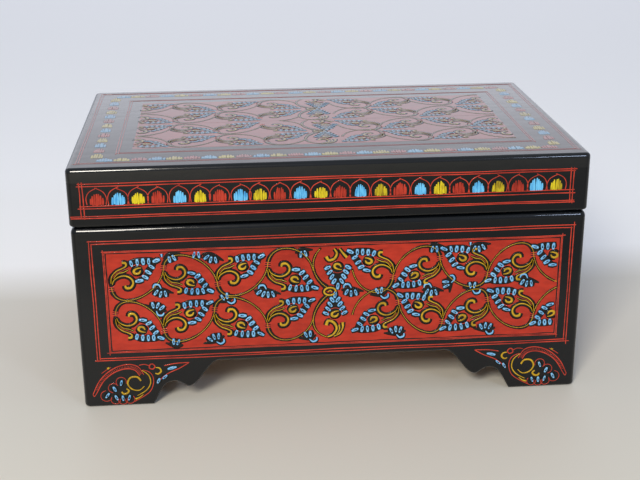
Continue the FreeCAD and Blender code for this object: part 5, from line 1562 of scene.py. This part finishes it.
@dataclass
class Works:
    """The hinges and the movement: CAD pieces that keep their shape and get their metal."""

    finishes: dict[str, Finish] = field(default_factory=lambda: {
        "case_hinge_leaf_left": HINGE_BRASS, "case_hinge_leaf_right": HINGE_BRASS,
        "lid_hinge_leaf_left": HINGE_BRASS, "lid_hinge_leaf_right": HINGE_BRASS,
        "hinge_pin_left": STEEL, "hinge_pin_right": STEEL,
        "case_hinge_screws": HINGE_BRASS, "lid_hinge_screws": HINGE_BRASS,
        "bedplate": ZINC, "comb_base": ZINC, "governor_frame": ZINC,
        "movement_screws": STEEL, "movement_frame_screws": STEEL,
        "spring_housing": MOVEMENT_BRASS, "mainspring": STEEL, "barrel_bridge": STEEL, "comb": STEEL,
        "great_wheel": MOVEMENT_BRASS, "click": STEEL, "click_stud": STEEL,
        "winding_arbor": STEEL, "ratchet_wheel": STEEL, "winding_key": STEEL,
        "cylinder": MOVEMENT_BRASS, "cylinder_arbor": STEEL, "drive_pinion": MOVEMENT_BRASS,
        "relay_wheel": MOVEMENT_BRASS, "relay_arbor": MOVEMENT_BRASS,
        "worm_wheel": NYLON, "worm_shaft": STEEL, "fly": NYLON,
        "stop_plunger": STEEL, "plunger_spring": STEEL,
    })

    def felt(self) -> None:
        """The brake's felt disc: a hard little pad with rounded edges, on the plunger's arm."""
        low, high = node_box("brake_pad")
        radius, tall = min(high.x - low.x, high.y - low.y) / 2, high.z - low.z
        bm = bmesh.new()
        bmesh.ops.create_cone(bm, cap_ends=True, segments=48, radius1=radius, radius2=radius, depth=tall,
                              matrix=Matrix.Translation((low + high) / 2))
        rims = [edge for edge in bm.edges if edge.calc_face_angle(0.0) > 1.2]
        bmesh.ops.bevel(bm, geom=rims, offset=tall * 0.3, segments=3, profile=0.5, affect="EDGES",
                        material=-1)
        piece = piece_from(bm, "brake_felt", "stop", GREY_FELT)
        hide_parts("brake_pad")

    def build(self) -> None:
        """Dresses every piece of the hinges and the movement."""
        self.felt()
        for node, finish in self.finishes.items():
            dress(node, finish)


# ---------------------------------------------------------------- studio
@dataclass
class Studio:
    """The pale floor with its painted shade and painted glow, the soft lights and the camera."""

    focal_mm: float = 66.05
    sensor_mm: float = 36.0
    camera_from_front: tuple[float, float, float] = (-0.0499, -0.5306, 0.2823)  # m, from the case's front
    forward: tuple[float, float, float] = (0.0769, 0.9345, -0.3474)
    roll: float = -0.0074          # radians

    def camera(self) -> None:
        """Places the camera in front of the case, a little to its left and looking down."""
        forward = Vector(self.forward).normalized()
        right = forward.cross(Vector((0, 0, 1))).normalized()
        up = right.cross(forward)
        cos, sin = math.cos(self.roll), math.sin(self.roll)
        right, up = right * cos + up * sin, up * cos - right * sin
        data = bpy.data.cameras.new("camera")
        data.lens = self.focal_mm
        data.sensor_width = self.sensor_mm
        data.clip_start = 0.01
        data.clip_end = 20.0
        eye = bpy.data.objects.new("camera", data)
        x, y, z = self.camera_from_front
        spot = Vector((x, y + node_box("front_board")[0].y, z))
        turn = Matrix((right, up, -forward)).transposed().to_4x4()
        eye.matrix_world = Matrix.Translation(spot) @ turn
        bpy.context.scene.collection.objects.link(eye)
        bpy.context.scene.camera = eye

    def lamp(self, name: str, spot: tuple[float, float, float], aim: tuple[float, float, float],
             size: tuple[float, float], power: float, colour: str) -> None:
        """Adds one soft box.

        Args:
            name: what it stands for.
            spot: where it is.
            aim: what it looks at.
            size: its width and height.
            power: in watts.
            colour: of its light.
        """
        data = bpy.data.lights.new(name, "AREA")
        data.shape = "RECTANGLE"
        data.size, data.size_y = size
        data.energy = power
        data.color = linear(colour)[:3]
        lamp = bpy.data.objects.new(name, data)
        direction = Vector(aim) - Vector(spot)
        turn = direction.to_track_quat("-Z", "Y").to_matrix().to_4x4()
        lamp.matrix_world = Matrix.Translation(spot) @ turn
        bpy.context.scene.collection.objects.link(lamp)

    def floor(self) -> None:
        """A wide pale table top, warmer in front and cooler behind, with painted light in its colour along Y:
        a darker grey band of painted shade in front of the case, and a painted white glow behind it.
        """
        bm = bmesh.new()
        bmesh.ops.create_grid(bm, x_segments=1, y_segments=1, size=4.0)
        mesh = bpy.data.meshes.new("floor")
        bm.to_mesh(mesh)
        bm.free()
        floor = bpy.data.objects.new("floor", mesh)
        material = bpy.data.materials.new("table top, painted shade and glow")
        material.use_nodes = True
        tree = material.node_tree
        tree.nodes.clear()
        place = add(tree, "ShaderNodeTexCoord").outputs["Object"]
        depth = add(tree, "ShaderNodeSeparateXYZ", {"Vector": place}).outputs["Y"]
        across = add(tree, "ShaderNodeMapRange", {"Value": depth, "From Min": -0.6, "From Max": 0.4})
        # Painted light: the grey dip at 0.3 (0.3 m in front of the case's middle) is painted shade, which the
        # black front reflects; the white from 0.72 on is a painted glow behind the case.
        stops = [(0.0, "#BDB9AC"), (0.3, "#9C9992"), (0.43, "#D3CFC3"), (0.66, "#D6D3CA"), (0.72, "#FFFFFF")]
        colour = ramp(tree, across.outputs["Result"], stops)
        shader = add(tree, "ShaderNodeBsdfPrincipled",
                     {"Base Color": colour.outputs["Color"], "Roughness": 0.6})
        add(tree, "ShaderNodeOutputMaterial", {"Surface": shader.outputs["BSDF"]})
        mesh.materials.append(material)
        bpy.context.scene.collection.objects.link(floor)

    def world(self) -> None:
        """An even pale room."""
        world = bpy.data.worlds.new("room")
        world.use_nodes = True
        tree = world.node_tree
        tree.nodes.clear()
        light = add(tree, "ShaderNodeBackground", {"Color": linear("#DCE4F2"), "Strength": 0.58})
        add(tree, "ShaderNodeOutputWorld", {"Surface": light.outputs["Background"]})
        bpy.context.scene.world = world

    def build(self) -> None:
        """Builds the studio."""
        self.camera()
        self.floor()
        self.world()
        self.lamp("window", (-0.42, -1.15, 0.86), (0.0, 0.0, 0.05), (0.34, 0.38), 15.5, "#FFF8EC")
        self.lamp("back wall", (0.1, 1.7, 0.85), (0.0, 0.0, 0.1), (2.6, 1.1), 6.2, "#F4F1F8")
        self.lamp("side window", (0.62, -1.0, 0.75), (0.0, 0.0, 0.1), (0.16, 0.12), 2.0, "#CFE0FF")
        bpy.context.scene.view_settings.view_transform = "Standard"


def main() -> None:
    """Builds the studio and the box."""
    logging.basicConfig(level=logging.INFO, format="%(name)s: %(message)s")
    Studio().build()
    for part in (Case(), Lid(), Compartments(), Works()):
        part.build()
        log.info("%s built", type(part).__name__)


if __name__ == "__main__":
    main()
